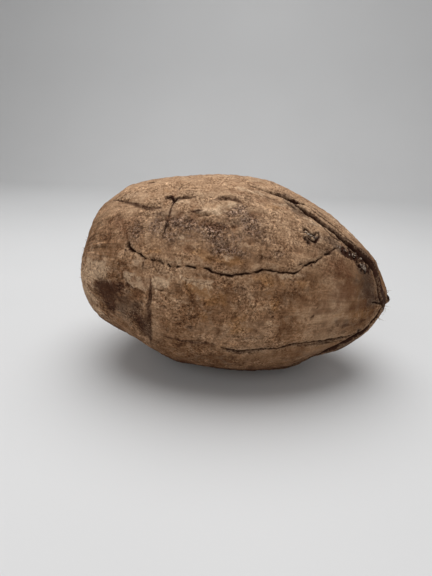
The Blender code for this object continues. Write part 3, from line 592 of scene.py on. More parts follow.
def outward(points):
    """Unit vectors that point out of the egg, away from a spine inside it."""
    foot = np.zeros_like(points)
    foot[..., 0] = np.clip(points[..., 0], RADIUS, LENGTH - RADIUS)
    away = points - foot
    return away / np.linalg.norm(away, axis=-1, keepdims=True)


def lie_down(points):
    """Turns the husk's own frame to the row's, and flattens what the fruit rests on."""
    x, y, z = points[:, 0] - CENTRE_STATION, points[:, 1] - CENTRE_DEPTH, points[:, 2]
    c, s = math.cos(TIP_DOWN), math.sin(TIP_DOWN)
    return np.stack([x * c + z * s, y, np.maximum(AXIS_HEIGHT - x * s + z * c, 0)], -1)


def noise_at(points, size, shift=0.0):
    """Smooth noise from -1 to 1, with shapes of about that size."""
    return np.array([noise.noise(p) for p in points / size + shift])


def wandered(points, *wanders):
    """The points moved by smooth noise, so that what is drawn by them wanders as natural lines do."""
    for reach, size, shift in wanders:
        points = points + reach * np.array([noise.noise_vector(p) for p in points / size + shift])
    return points


def smooth(low, high, value):
    share = np.clip((value - low) / (high - low), 0, 1)
    return share * share * (3 - 2 * share)


def peak(value, at=0.0, reach=1.0, power=2):
    """1 where the value is at its peak, 0.37 at the reach to each side and near 0 beyond it.

    A higher power gives a flatter top and steeper sides."""
    return np.exp(-(np.abs((value - at) / reach) ** power))


def bump_over(points, spot, reach):
    """1 at a place and falling to 0 over its reach along and round the husk, in mm, on its own side."""
    centre, angle = place(*spot), math.radians(spot[1])
    round_way = np.array([0, math.sin(angle), math.cos(angle)])
    gap = points - centre
    along, beside = gap[:, 0] / (reach[0] * MM), gap @ round_way / (reach[1] * MM)
    return peak(np.hypot(along, beside)) * smooth(-1, -1 / 3, gap @ outward(centre) / RADIUS)


def away_from(points, station, angle, reach):
    """How far the points are from a place, as a share of a reach in mm."""
    return np.linalg.norm(points - place(station, angle), axis=1) / (reach * MM)


def route_frame(points, route):
    """For each point: its distance beside the route (over 0 on the left), how near it is, and the way gone.

    The stops are the way gone at each place of the route."""
    corners = place(*np.array(route, float)[:, :2].T)
    near = np.full(len(points), np.inf)
    beside, gone = np.zeros(len(points)), np.zeros(len(points))
    length = 0.0
    stops = [0.0]
    for start, end in zip(corners[:-1], corners[1:]):
        run = end - start
        run_length = np.linalg.norm(run)
        share = np.clip((points - start) @ run / run_length**2, 0, 1)
        gap = points - start - share[:, None] * run
        distance = np.linalg.norm(gap, axis=1)
        closer = distance < near
        near[closer] = distance[closer]
        beside[closer] = (gap @ np.cross(outward(start), run / run_length))[closer]
        gone[closer] = (length + share * run_length)[closer]
        length += run_length
        stops.append(length)
    return beside, near, gone, stops


def end_fade(gone, stops, reach):
    """0 at both ends of a route, and 1 from a reach inside them."""
    return np.clip(np.minimum(gone, stops[-1] - gone) / reach, 0, 1)


def value_along(route, gone, stops):
    """The third value of a route's places, at the way gone."""
    return np.interp(gone, stops, np.array(route)[:, 2])


class Husk:
    """The relief and the marks of the husk at given turns and angles."""

    def __init__(self, turn, angle):
        self.base = egg_point(*meridian(turn), angle)
        self.angle = angle
        self.round = np.hypot(self.base[:, 1], self.base[:, 2]) / RADIUS
        self.lines_at = wandered(self.base, *LINE_WANDERS)
        self.stains_at = wandered(self.base, *STAIN_WANDERS)
        self.marks = {kind: np.zeros(len(self.base)) for kind in MARKS}
        self.relief = self.broad_relief() + self.fold_relief() + self.wrinkle_relief()
        self.relief += self.crack_relief() + self.pit_relief() + self.end_relief()
        self.add_bands()
        self.add_stains_and_painted_shade()
        self.relief += self.fine_relief()

    def points(self):
        return lie_down(self.base + outward(self.base) * self.relief[:, None])

    def raise_mark(self, kind, amount):
        self.marks[kind] = np.maximum(self.marks[kind], amount)

    def along_husk(self, width, length, shift=0.0):
        """Smooth noise whose shapes run from end to end, about that wide and that long."""
        turns = RADIUS / width
        across = turns * np.cos(self.angle), turns * np.sin(self.angle)
        return noise_at(np.stack([self.base[:, 0] / length, *across], -1), 1, shift)

    def broad_relief(self):
        total = SIDE_RELIEF * np.cos(3 * (self.angle - TOP_RIDGE)) * self.round**2
        for swell in SWELLS.values():
            total += swell.height * MM * bump_over(self.base, swell.place, swell.reach)
        total += LUMP_HEIGHT * noise_at(self.base, LUMP_SIZE)
        tame = np.minimum(self.round * 1.5, 1)
        return total + LONG_WRINKLE_HEIGHT * tame * self.along_husk(*LONG_WRINKLES)

    def fold_relief(self):
        total = np.zeros(len(self.base))
        for crease in CREASES.values():
            width = crease.half_width * MM
            beside, near, gone, stops = route_frame(self.lines_at, crease.route)
            fade = end_fade(gone, stops, FADE) ** FADE_POWER
            off = near / width
            groove = peak(off) - LIP * peak(off, LIP_PLACE)
            step = np.tanh(beside / width) * peak(off, 0, STEP_REACH)
            total += fade * MM * (STEP_SHARE * crease.step * step - GROOVE_SHARE * crease.depth * groove)
            self.marks["lip"] += FOLD_WEAR * fade * peak(off, FOLD_WEAR_PLACE, FOLD_WEAR_REACH)
        return total

    def wrinkle_relief(self):
        total = np.zeros(len(self.base))
        for height, route in WRINKLES.values():
            beside, near, gone, stops = route_frame(self.lines_at, route)
            rise = height * end_fade(gone, stops, WRINKLE_FADE)
            off = near / WRINKLE_WIDTH
            crest = rise * peak(off)
            foot = rise * peak(off, WRINKLE_FOOT_PLACE) * (beside < 0)
            total += MM * (crest - WRINKLE_FOOT * foot)
            self.marks["lip"] += WRINKLE_WEAR * crest
            # Painted shade in the hollow at the wrinkle's foot, on one side
            self.raise_mark("umber", WRINKLE_PAINTED_SHADE * foot)
        return total

    def crack_relief(self):
        """Sharp cracks. Two that meet don't cut deeper than the deeper one."""
        cut = np.zeros(len(self.base))
        lips = np.zeros(len(self.base))
        for number, route in enumerate(CRACKS.values()):
            _, near, gone, stops = route_frame(self.lines_at, route)
            close = near < RAGGED_REACH
            way = gone[close] / RAGGED_LENGTH
            ragged = np.zeros(len(gone))
            ragged[close] = noise_at(np.stack([way, 0 * way + RAGGED_SHIFT * number, 0 * way], -1), 1)
            opening = value_along(route, gone, stops) * (1 + RAGGED * ragged)
            off = near / (CRACK_WIDTH * (SHUT_WIDTH + (1 - SHUT_WIDTH) * opening))
            depth = np.minimum(opening, MOST_CUT)
            cut = np.maximum(cut, depth * peak(off))
            lips = np.maximum(lips, depth * peak(off, CRACK_LIP_PLACE, CRACK_LIP_REACH))
            self.raise_mark("crack", smooth(*BLACK_WHEN, opening) * peak(off, 0, BLACK_REACH, 4))
            self.raise_mark("umber", HALO * smooth(*HALO_WHEN, opening) * peak(off, 0, HALO_REACH))
        self.marks["lip"] += CRACK_WEAR * lips
        return CRACK_LIP * lips - CRACK_DEPTH * cut

    def add_bands(self):
        for kind, strength, route in BANDS.values():
            _, near, gone, stops = route_frame(self.lines_at, route)
            self.marks[kind] += strength * peak(near, 0, value_along(route, gone, stops) * MM)

    def pit_relief(self):
        total = np.zeros(len(self.base))
        for station, angle, radius, depth in PITS:
            off = away_from(self.lines_at, station, angle, radius)
            total += depth * MM * (PIT_RIM * peak(off, PIT_RIM_PLACE, PIT_RIM_REACH) - peak(off))
            self.raise_mark("crack", PIT_DARK * peak(off, 0, PIT_DARK_REACH, 4))
            self.raise_mark("slate", PIT_CRUST * peak(off, 0, PIT_CRUST_REACH))
        return total

    def end_relief(self):
        """The stalk's scar, with its ring of fibre stubs, and the nub that ends the tip."""
        radius = self.round * RADIUS
        cup = -SCAR_DEPTH * peak(radius, 0, SCAR_RADIUS, 4)
        rim = SCAR_RIM * peak(radius, SCAR_RIM_PLACE, SCAR_RIM_WIDTH)
        across = SPOKE_TURNS * np.cos(self.angle), SPOKE_TURNS * np.sin(self.angle)
        spokes = noise_at(np.stack([radius / SPOKE_LENGTH, *across], -1), 1)
        in_ring = smooth(*STUBS_BEGIN, radius) * (1 - smooth(*STUBS_END, radius))
        core = CORE_HEIGHT * peak(radius, 0, CORE_RADIUS, 4) * (1 + 0.5 * spokes)
        from_nub = np.hypot(self.base[:, 1], self.base[:, 2] + NUB_DROP)
        nub = NUB_HEIGHT * peak(from_nub, 0, NUB_RADIUS, 4)
        nub += NUB_ROUGHNESS * noise_at(self.base, NUB_GRAIN) * peak(radius, 0, NUB_ROUGH_RADIUS)
        scar_horn = SCAR_HORN_SHARE * (1 - smooth(*SCAR_HORN, radius + SCAR_HORN_RAGGED * spokes))
        tip_horn = 1 - smooth(*TIP_HORN, radius + TIP_HORN_RAGGED * spokes)
        ring = SCAR_RING_SHARE * peak(radius + SCAR_RING_RAGGED * spokes, SCAR_RADIUS, SCAR_RING_WIDTH)
        at_stem = self.base[:, 0] < WIDEST
        self.marks["horn"] = np.where(at_stem, np.maximum(ring, scar_horn), tip_horn)
        return np.where(at_stem, cup + rim + STUB_HEIGHT * spokes * in_ring + core, nub)

    def add_stains_and_painted_shade(self):
        stains = [(kind, *stain) for kind, group in STAINS.items() for stain in group] + back_stains()
        for kind, spot, reach, strength in stains:
            self.marks[kind] += strength * bump_over(self.stains_at, spot, reach)
        for spot in SPOTS:
            self.marks["umber"] += SPOT_STRENGTH * peak(away_from(self.stains_at, *spot))
        facing_up = outward(self.base)[:, 2]
        # Paler towards the top, the more the skin faces up
        self.marks["paler_on_top"] = smooth(*PALER_ON_TOP_WHEN, facing_up)
        # The low mark: painted shade, darker the more the skin faces down
        self.marks["low"] = smooth(*UNDERSIDE_PAINTED_SHADE_WHEN, facing_up)

    def fine_relief(self):
        """Wrinkles along the husk, small lumps, pocks, and the crumbled skin of the rough patches."""
        rough, calm, crinkled = (np.clip(self.marks[kind], 0, 1) for kind in ("rough", "calm", "crinkled"))
        lively = 1 - CALMING * calm
        patchy = 0.6 + 0.8 * smooth(-0.3, 0.5, noise_at(self.base, *PATCHES))
        tame = np.minimum(self.round * 1.6, 1)
        grit = noise_at(self.base, *GRIT)
        crumbs = np.abs(noise_at(self.base, *CRUMBS))
        crinkles = np.abs(noise_at(wandered(self.base, CRINKLE_WANDER), *CRINKLES)) - CRINKLE_BASE
        crepe = CREPE_BASE - np.abs(noise_at(wandered(self.base, CREPE_WANDER), *CREPE))
        wrinkles = self.along_husk(*FINE_WRINKLES)
        fibres = self.along_husk(*FINE_FIBRES)
        total = patchy * tame * (WRINKLE_RISE * wrinkles + FIBRE_RISE * fibres)
        total += LUMP_RISE * noise_at(self.base, *LUMPS)
        total += lively * (CRINKLE_RISE * patchy * crinkles + GRIT_RISE * grit)
        total += crinkled * (CREPE_RISE * crepe + CREPE_CRINKLE_RISE * crinkles)
        # Painted shade in the hollows of this relief, and a painted highlight on its ridges
        self.marks["hollow"] = smooth(*HOLLOW_PAINTED_SHADE_WHEN, total * MM)
        self.marks["ridge"] = smooth(*RIDGE_PAINTED_HIGHLIGHT_WHEN, total * MM)
        total += rough * (ROUGH_CRUMB_RISE * crumbs + ROUGH_GRIT_RISE * grit)
        return total * MM + lively * self.pocks()

    def pocks(self):
        total = np.zeros(len(self.base))
        for i, point in enumerate(self.base / POCK_CELL):
            distances, centres = noise.voronoi(point)
            if noise.cell(centres[0] * 3.1) > POCK_SHARE:
                total[i] = -POCK_DEPTH * peak(distances[0], 0, POCK_REACH)
        return total


def back_stains():
    """Stains strewn over the side that faces away from the camera."""
    rng = np.random.default_rng(SEED)
    strewn = []
    for i in range(BACK_STAINS):
        spot = (rng.uniform(18, 240), rng.uniform(100, 292))
        reach = (rng.uniform(6, 20), rng.uniform(4, 11))
        strewn.append((BACK_KINDS[i % len(BACK_KINDS)], spot, reach, rng.uniform(0.4, 1.0)))
    return strewn


class Chart:
    """Unrolls the egg so that small shapes keep their form: angle across, and a stretched turn upward."""

    def __init__(self):
        self.turns = np.linspace(POLE_GAP, math.pi - POLE_GAP, CHART_STEPS)
        self.stations, self.radii = meridian(self.turns)
        step = np.hypot(np.diff(self.stations), np.diff(self.radii))
        middle = (self.radii[1:] + self.radii[:-1]) / 2
        self.lengths = np.concatenate([[0], np.cumsum(step)])
        self.heights = np.concatenate([[0], np.cumsum(step / middle)])

    def height_at(self, station):
        return np.interp(station, self.stations, self.heights)

    def turn_at(self, height):
        return np.interp(height, self.heights, self.turns)

    def row_lengths(self):
        """Meridian lengths of the rows and their steps, closer together towards both ends."""
        steps = [POLE_STEP]
        while sum(steps) < self.lengths[-1] / 2:
            steps.append(min(steps[-1] * POLE_GROWTH, NET_STEP))
        steps = np.array(steps)
        half = np.cumsum(steps) / sum(steps) * (self.lengths[-1] - NET_STEP) / 2
        return np.concatenate([half, self.lengths[-1] - half[::-1]]), np.concatenate([steps, steps[::-1]])

    def row_points(self, rng):
        """Rows of points round the egg, of which the first and last are the rings next to the ends."""
        rows = []
        for i, (length, step) in enumerate(zip(*self.row_lengths())):
            height = np.interp(length, self.lengths, self.heights)
            radius = np.interp(length, self.lengths, self.radii)
            count = max(8, round(2 * math.pi * radius / step))
            angles = (np.arange(count) + 0.5 * (i % 2)) * 2 * math.pi / count
            jitter = rng.uniform(-NET_JITTER, NET_JITTER, (2, count)) * step / radius
            rows.append(np.stack([angles + jitter[0], height + jitter[1]], -1))
        for ring in (rows[0], rows[-1]):
            ring[:, 1] = ring[0, 1]
        return rows[0], np.concatenate(rows[1:-1]), rows[-1]


def strip_points(route):
    """Points of the bare egg in lines along a route and beside it."""
    corners = place(*np.array(route, float)[:, :2].T)
    runs = np.linalg.norm(np.diff(corners, axis=0), axis=1)
    gone = np.concatenate([[0], np.cumsum(runs)])
    stops = np.linspace(0, gone[-1], round(gone[-1] / STRIP_STEP) + 1)
    line = np.stack([np.interp(stops, gone, corners[:, k]) for k in range(3)], -1)
    way = np.gradient(line, axis=0)
    way /= np.linalg.norm(way, axis=1, keepdims=True)
    left = np.cross(outward(line), way)
    return (line[None] + STRIP_OFFSETS[:, None, None] * left[None]).reshape(-1, 3)


def pit_points():
    """Close points over each pit."""
    spots = []
    for station, angle, radius, _ in PITS:
        for ring in np.arange(0, PIT_NET_REACH * radius, PIT_NET_STEP):
            count = max(1, round(2 * math.pi * ring / PIT_NET_STEP))
            for k in range(count):
                way = 2 * math.pi * k / count
                around = math.degrees(ring * math.sin(way) * MM / radius_at(station * MM))
                spots.append(place(station + ring * math.cos(way), angle + around))
    return np.array(spots)


def thinned(points, gap):
    """One point of those in each small cube of space."""
    cells = np.floor(points / gap).astype(int)
    return points[np.sort(np.unique(cells, axis=0, return_index=True)[1])]


def net_places():
    """Turn and angle of each point of the net, and the triangles between them."""
    chart = Chart()
    rng = np.random.default_rng(SEED)
    first_ring, rows, last_ring = chart.row_points(rng)
    close = np.concatenate([strip_points(route) for route in CRACKS.values()] + [pit_points()])
    strips = thinned(close, STRIP_GAP)
    tree = kdtree.KDTree(len(strips))
    for i, point in enumerate(strips):
        tree.insert(point, i)
    tree.balance()
    on_egg = egg_point(*meridian(chart.turn_at(rows[:, 1])), rows[:, 0])
    clear = [tree.find(point)[2] > STRIP_CLEARANCE for point in on_egg]
    strip_spots = np.stack([angle_of(strips), chart.height_at(strips[:, 0])], -1)
    low, high = first_ring[0, 1], last_ring[0, 1]
    inside = (strip_spots[:, 1] > low + STRIP_END_GAP) & (strip_spots[:, 1] < high - STRIP_END_GAP)
    spots = np.concatenate([first_ring, rows[clear], strip_spots[inside], last_ring])
    spots[:, 0] = np.mod(spots[:, 0], 2 * math.pi)
    faces = closed_triangles(spots)
    turn = np.concatenate([chart.turn_at(spots[:, 1]), [0, math.pi]])
    angle = np.concatenate([spots[:, 0], [0, 0]])
    faces += ring_fan(np.arange(len(first_ring)), spots, len(spots))
    faces += ring_fan(np.arange(len(spots) - len(last_ring), len(spots)), spots, len(spots) + 1)
    return turn, angle, faces


def ring_fan(ring, spots, pole):
    ring = ring[np.argsort(spots[ring, 0])]
    return [(int(pole), int(a), int(b)) for a, b in zip(ring, np.roll(ring, -1))]


def closed_triangles(spots):
    """Triangles between spots of the chart, joined up where the chart's two sides meet."""
    full = 2 * math.pi
    shown = []
    for turn in (-1, 0, 1):
        across = spots[:, 0] + turn * full
        inside = np.nonzero((across > -CHART_OVERLAP) & (across < full + CHART_OVERLAP))[0]
        shown.append(np.stack([inside, np.full(len(inside), turn)], -1))
    shown = np.concatenate(shown)
    flat = spots[shown[:, 0]] + np.stack([shown[:, 1] * full, shown[:, 1] * 0], -1)
    result = geometry.delaunay_2d_cdt([Vector(p) for p in flat], [], [], 0, 1e-9)
    source = np.array([origin[0] for origin in result[3]])
    corners = source[np.array(result[2])]
    middle = flat[corners, 0].mean(axis=1)
    kept = corners[(middle >= 0) & (middle < full)]
    return shown[kept, 0].tolist()


def make_husk():
    turn, angle, faces = net_places()
    husk = Husk(turn, angle)
    mesh = bpy.data.meshes.new("husk")
    mesh.from_pydata(husk.points().tolist(), [], faces)
    bm = bmesh.new()
    bm.from_mesh(mesh)
    bmesh.ops.recalc_face_normals(bm, faces=bm.faces[:])
    mesh = finished_mesh(bm, "husk", husk_material(), mesh)
    for name, values in husk.marks.items():
        mark = mesh.attributes.new(name, "FLOAT", "POINT")
        mark.data.foreach_set("value", np.clip(values, 0, 1).astype(np.float32))
    grain = np.stack([husk.base[:, 0], RADIUS * np.cos(angle), RADIUS * np.sin(angle)], -1)
    mesh.attributes.new("grain", "FLOAT_VECTOR", "POINT").data.foreach_set("vector", grain.ravel())
    return shown(mesh, replaced=True)


def finished_mesh(bm, name, material, mesh=None):
    """A smooth mesh of what was modelled, with its material."""
    mesh = mesh or bpy.data.meshes.new(name)
    bm.to_mesh(mesh)
    bm.free()
    mesh.shade_smooth()
    mesh.materials.append(material)
    return mesh


def shown(mesh, replaced=False):
    """An object of the coconut's own body, with the husk's finish."""
    piece = bpy.data.objects.new(mesh.name, mesh)
    bpy.context.scene.collection.objects.link(piece)
    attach(piece, "root")
    if replaced:
        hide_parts("coconut")
    return piece


class Shader:
    """Builds a node material. Any input takes another node's output, a number or a colour."""

    def __init__(self, name):
        self.material = bpy.data.materials.new(name)
        self.material.use_nodes = True
        self.tree = self.material.node_tree
        self.surface = self.tree.nodes["Principled BSDF"]

    def node(self, kind, **settings):
        made = self.tree.nodes.new(kind)
        for name, value in settings.items():
            setattr(made, name, value)
        return made

    def put(self, value, socket):
        if isinstance(value, bpy.types.NodeSocket):
            self.tree.links.new(value, socket)
        else:
            socket.default_value = value

    def mark(self, name):
        return self.node("ShaderNodeAttribute", attribute_name=name).outputs["Fac"]

    def place(self):
        return self.node("ShaderNodeTexCoord").outputs["Object"]

    def along_grain(self, width, length):
        """Coordinates for marks that run from end to end of the husk, about that wide and that long."""
        grain = self.node("ShaderNodeAttribute", attribute_name="grain").outputs["Vector"]
        scaled = self.node("ShaderNodeVectorMath", operation="MULTIPLY")
        self.put(grain, scaled.inputs[0])
        scaled.inputs[1].default_value = (1 / length, 1 / width, 1 / width)
        return scaled.outputs[0]

    def noise(self, at, size=1.0, detail=2.0, roughness=0.5, distortion=0.0, kind="FBM"):
        made = self.node("ShaderNodeTexNoise", noise_type=kind)
        self.put(at, made.inputs["Vector"])
        made.inputs["Scale"].default_value = 1 / size
        made.inputs["Detail"].default_value = detail
        made.inputs["Roughness"].default_value = roughness
        made.inputs["Distortion"].default_value = distortion
        return made.outputs["Fac"]

    def math(self, operation, first, second=0.0):
        made = self.node("ShaderNodeMath", operation=operation)
        self.put(first, made.inputs[0])
        self.put(second, made.inputs[1])
        return made.outputs[0]

    def over(self, value, low, high, start=0.0, end=1.0):
        """A value spread from low..high to start..end, with soft ends."""
        made = self.node("ShaderNodeMapRange", interpolation_type="SMOOTHSTEP")
        self.put(value, made.inputs["Value"])
        for name, number in zip(("From Min", "From Max", "To Min", "To Max"), (low, high, start, end)):
            made.inputs[name].default_value = number
        return made.outputs["Result"]

    def tones(self, value, *stops):
        """A colour ramp through (position, colour) stops."""
        made = self.node("ShaderNodeValToRGB")
        elements = made.color_ramp.elements
        while len(elements) < len(stops):
            elements.new(0.5)
        for element, (position, colour) in zip(elements, stops):
            element.position = position
            element.color = (*colour, 1)
        self.put(value, made.inputs["Fac"])
        return made.outputs["Color"]

    def times(self, first, second):
        return self.math("MULTIPLY", first, second)

    def shares(self, *parts):
        """The sum of some values, each times its share."""
        total = 0.0
        for value, share in parts:
            total = self.math("ADD", total, self.times(value, share))
        return total

    def blend(self, under, over, amount, mode="MIX"):
        made = self.node("ShaderNodeMix", data_type="RGBA", blend_type=mode)
        self.put(amount, made.inputs[0])
        for value, socket in ((under, made.inputs[6]), (over, made.inputs[7])):
            self.put((*value, 1) if isinstance(value, tuple) else value, socket)
        return made.outputs[2]

    def tint(self, colour, by, amount=1.0):
        return self.blend(colour, by, amount, "MULTIPLY")

    def bump(self, height, distance, strength=1.0):
        made = self.node("ShaderNodeBump")
        self.put(height, made.inputs["Height"])
        made.inputs["Distance"].default_value = distance
        made.inputs["Strength"].default_value = strength
        self.put(made.outputs["Normal"], self.surface.inputs["Normal"])


# Tones of the dry skin, as linear colours
BROWN = (0.118, 0.055, 0.026)
TAN = (0.290, 0.166, 0.088)
PALE_TAN = (0.460, 0.308, 0.190)
UMBER = (0.070, 0.030, 0.016)
SLATE = (0.085, 0.056, 0.040)
OCHRE = (0.330, 0.172, 0.068)
PALE = (0.560, 0.405, 0.265)
RUST = (0.150, 0.066, 0.033)
# The mould tone below is also the dark of the painted shadow in the bottom seam
MOULD_AND_SEAM_SHADOW = (0.046, 0.018, 0.011)
MOULD_BLOOM = (0.460, 0.320, 0.230)
ROUGH_SKIN = (0.200, 0.120, 0.078)
CRACK_DARK = (0.022, 0.007, 0.004)
HORN = (0.040, 0.018, 0.012)
SAP_TONES = ((0.40, (0.035, 0.020, 0.014)), (0.52, (0.19, 0.135, 0.10)), (0.66, (0.46, 0.38, 0.30)))
FIBRE_TONES = ((0.35, (0.10, 0.05, 0.025)), (0.65, (0.36, 0.22, 0.11)))
BACKDROP_TONES = ((0.3, (0.64, 0.642, 0.646)), (0.7, (0.67, 0.672, 0.676)))

# Colours that the skin is multiplied by: painted shade in the hollows of the fine relief and on the
# underside (low), and a painted highlight on its ridges
PAINTED_SHADE_AND_HIGHLIGHT_TINTS = {"hollow": (0.62, 0.54, 0.50), "ridge": (1.16, 1.18, 1.20), "low": (0.70, 0.66, 0.63)}
DEEPER = 1.18  # gamma of the whole skin, and then its tint
WHOLE_TINT = (1.26, 1.31, 1.42)
HUSK_SHINE = 0.06
SAP_SHINE = 0.2

# How each stain, and the painted shade of folds, seams and wrinkles carried by umber and slate, is laid on:
# its tone, the size of its ragged edge in mm, how ragged, and its strength
STAIN_AND_SHADE_TONES = {
    "ochre": (OCHRE, 7, 0.35, 0.45),
    "rust": (RUST, 9, 0.35, 0.6),
    "pale": (PALE, 6, 0.35, 0.65),
    "slate": (SLATE, 8, 0.25, 0.65),
    "umber": (UMBER, 5, 0.22, 0.9),
}


def grey(level):
    return (level, level, level)


def husk_material():
    s = Shader("dry_husk")
    at = s.place()
    broad = s.noise(at, 42 * MM, detail=5, roughness=0.6, distortion=0.6)
    mottle = s.noise(at, 8 * MM, detail=6, roughness=0.7, distortion=0.5)
    streaks = s.noise(s.along_grain(1.9 * MM, 32 * MM), detail=4, roughness=0.65)
    fibres = s.noise(s.along_grain(1.1 * MM, 7 * MM), detail=3, roughness=0.6)
    blotches = s.noise(at, 5.5 * MM, detail=5, roughness=0.75, distortion=0.6)
    grit = s.noise(at, 1.5 * MM, detail=3, roughness=0.7)
    specks = s.noise(at, 1.2 * MM, detail=2, roughness=0.6)
    patches = s.noise(at, 15 * MM, detail=3, roughness=0.6, distortion=0.5)
    crazing = s.over(s.noise(at, 9 * MM, 4, 0.55, 0.5, "RIDGED_MULTIFRACTAL"), 0.15, 1.4)
    crust = s.over(s.noise(at, 1.6 * MM, detail=4, roughness=0.8), 0.50, 0.57)
    calm, rough = s.mark("calm"), s.mark("rough")
    lively = s.times(s.over(patches, 0.38, 0.62, 0.35, 1.0), s.over(calm, 0, 1, 1.0, 0.25))

    # The dry skin: broad and fine mottling, paler where it faces up, streaks along it, and worn blotches
    colour = s.tones(broad, (0.32, BROWN), (0.47, TAN), (0.66, PALE_TAN))
    fine = s.tones(mottle, (0.36, BROWN), (0.50, TAN), (0.64, PALE_TAN))
    colour = s.blend(colour, fine, s.over(calm, 0, 1, 0.6, 0.3))
    colour = s.blend(colour, PALE_TAN, s.over(s.mark("paler_on_top"), 0, 1, 0, 0.55))
    streaked = s.over(s.mark("streak"), 0, 1, 0.3, 1.0)
    colour = s.tint(colour, s.tones(streaks, (0.3, grey(0.42)), (0.7, grey(1.42))), streaked)
    colour = s.tint(colour, s.tones(fibres, (0.3, grey(0.6)), (0.7, grey(1.3))), 0.3)
    worn = s.tones(blotches, (0.36, (0.44, 0.37, 0.33)), (0.50, grey(1.0)), (0.63, (1.4, 1.44, 1.48)))
    colour = s.tint(colour, worn, s.times(lively, 0.7))

    # Stains, with the painted shade of folds, seams and wrinkles that the umber and slate marks also carry,
    # and the crumbled patches with their black crust and whitish bloom
    for kind, (tone, size, spread, most) in STAIN_AND_SHADE_TONES.items():
        ragged = s.noise(at, size * MM, detail=5, roughness=0.7, distortion=0.4)
        uneven = s.over(ragged, 0.3, 0.7, -spread, spread)
        colour = s.blend(colour, tone, s.over(s.math("ADD", s.mark(kind), uneven), 0.2, 0.85, 0, most))
    colour = s.blend(colour, ROUGH_SKIN, s.over(rough, 0.2, 1.0, 0, 0.35))
    colour = s.blend(colour, MOULD_AND_SEAM_SHADOW, s.times(s.over(rough, 0.1, 0.9, 0, 0.8), crust))
    bloom = s.over(s.noise(at, 1.3 * MM, detail=3, roughness=0.75), 0.51, 0.58, 0, 0.9)
    colour = s.blend(colour, MOULD_BLOOM, s.times(rough, bloom))

    # Sandy grain with dark and pale specks, worn lips, the painted shade of hollows and of the underside,
    # and a painted highlight on ridges
    sand = s.tones(grit, (0.34, (0.36, 0.30, 0.26)), (0.5, grey(0.97)), (0.66, grey(1.6)))
    colour = s.tint(colour, sand, lively)
    colour = s.blend(colour, MOULD_AND_SEAM_SHADOW, s.times(lively, s.over(specks, 0.61, 0.67, 0, 0.8)))
    colour = s.blend(colour, PALE, s.times(lively, s.over(specks, 0.38, 0.31, 0, 0.45)))
    colour = s.blend(colour, PALE, s.times(s.mark("lip"), s.over(grit, 0.4, 0.6, 0.05, 0.35)))
    for kind, tone in PAINTED_SHADE_AND_HIGHLIGHT_TINTS.items():
        colour = s.tint(colour, tone, s.mark(kind))
    deeper = s.node("ShaderNodeGamma")
    s.put(colour, deeper.inputs["Color"])
    deeper.inputs["Gamma"].default_value = DEEPER
    colour = s.tint(deeper.outputs["Color"], WHOLE_TINT)

    # Black crusts, the painted shadow in the bottom seam, horn and cracks, over all the rest
    black = s.math("ADD", s.mark("black"), s.over(blotches, 0.3, 0.7, -0.45, 0.45))
    colour = s.blend(colour, MOULD_AND_SEAM_SHADOW, s.over(black, 0.5, 0.72, 0, 0.95))
    colour = s.blend(colour, HORN, s.mark("horn"))
    colour = s.blend(colour, CRACK_DARK, s.mark("crack"))
    s.put(colour, s.surface.inputs["Base Color"])
    s.put(s.over(mottle, 0.3, 0.7, 0.95, 0.75), s.surface.inputs["Roughness"])
    s.surface.inputs["Specular IOR Level"].default_value = HUSK_SHINE
    crumbled, crazed = s.times(rough, crust), s.times(crazing, lively)
    s.bump(s.shares((fibres, 0.5), (grit, 1.0), (blotches, 1.4), (crazed, 1.6), (crumbled, 1.2)), 0.6 * MM)
    return s.material


def on_husk(places):
    """The husk's surface points at some places, and the unit vectors out of it, in the row frame."""
    chart = Chart()
    stations, angles = np.array(places, float).T
    turn = chart.turn_at(chart.height_at(stations * MM))
    husk = Husk(turn, np.radians(angles))
    out = outward(husk.base)
    c, s = math.cos(TIP_DOWN), math.sin(TIP_DOWN)
    turned = np.stack([out[:, 0] * c + out[:, 2] * s, out[:, 1], -out[:, 0] * s + out[:, 2] * c], -1)
    return husk.points(), turned


# Whitish bits of dried sap round the pits by the top seam. Clusters: place, spread and count
SAP_CLUSTERS = [
    ((177, 49), (2.4, 1.3), 7), ((203, 49), (5, 2), 8), ((211, 48.5), (5, 2), 12), ((220, 43), (4, 3), 7),
    ((128, 152), (18, 8), 10)]
LONE_BITS = [  # station, angle and size in mm
    (221.5, 42.8, 2.4), (218.6, 43.4, 1.3), (218, 50, 0.9), (204, 49.5, 0.8), (209.5, 48, 0.9),
    (172.4, 49.8, 0.7), (174.4, 49.4, 0.8), (176.6, 49, 0.9), (178.8, 48.2, 0.9), (180.4, 48.8, 0.7)]
STRAY = 0.6  # share of a cluster's spread by which its bits stray
BIT_SIZES = (0.3, 0.7)  # mm
BIT_SHAPE = (1.5, 1.0, 0.55)
BIT_BULGE = 0.45


def crumb_places(rng):
    """Station, angle and size in mm of each bit of dried sap."""
    for (station, angle), spread, count in SAP_CLUSTERS:
        for _ in range(count):
            there = station + spread[0] * rng.normal() * STRAY, angle + spread[1] * rng.normal() * STRAY
            yield *there, rng.uniform(*BIT_SIZES)
    yield from LONE_BITS


def make_crumbs():
    rng = np.random.default_rng(SEED + 1)
    bits = list(crumb_places(rng))
    points, outs = on_husk([bit[:2] for bit in bits])
    bm = bmesh.new()
    for (_, _, size), point, out in zip(bits, points, outs):
        made = bmesh.ops.create_icosphere(bm, subdivisions=2, radius=1)["verts"]
        facing = Vector(out).to_track_quat("Z", "Y").to_matrix()
        turned = facing @ Matrix.Rotation(rng.uniform(0, 6.28), 3, "Z")
        shift = Vector(rng.uniform(-50, 50, 3))
        for vert in made:
            bulge = 1 + BIT_BULGE * noise.noise(vert.co * 1.3 + shift)
            shape = vert.co * Vector(BIT_SHAPE) * bulge * size * MM
            vert.co = Vector(point) + turned @ shape
    return shown(finished_mesh(bm, "sap_crumbs", crumb_material()))


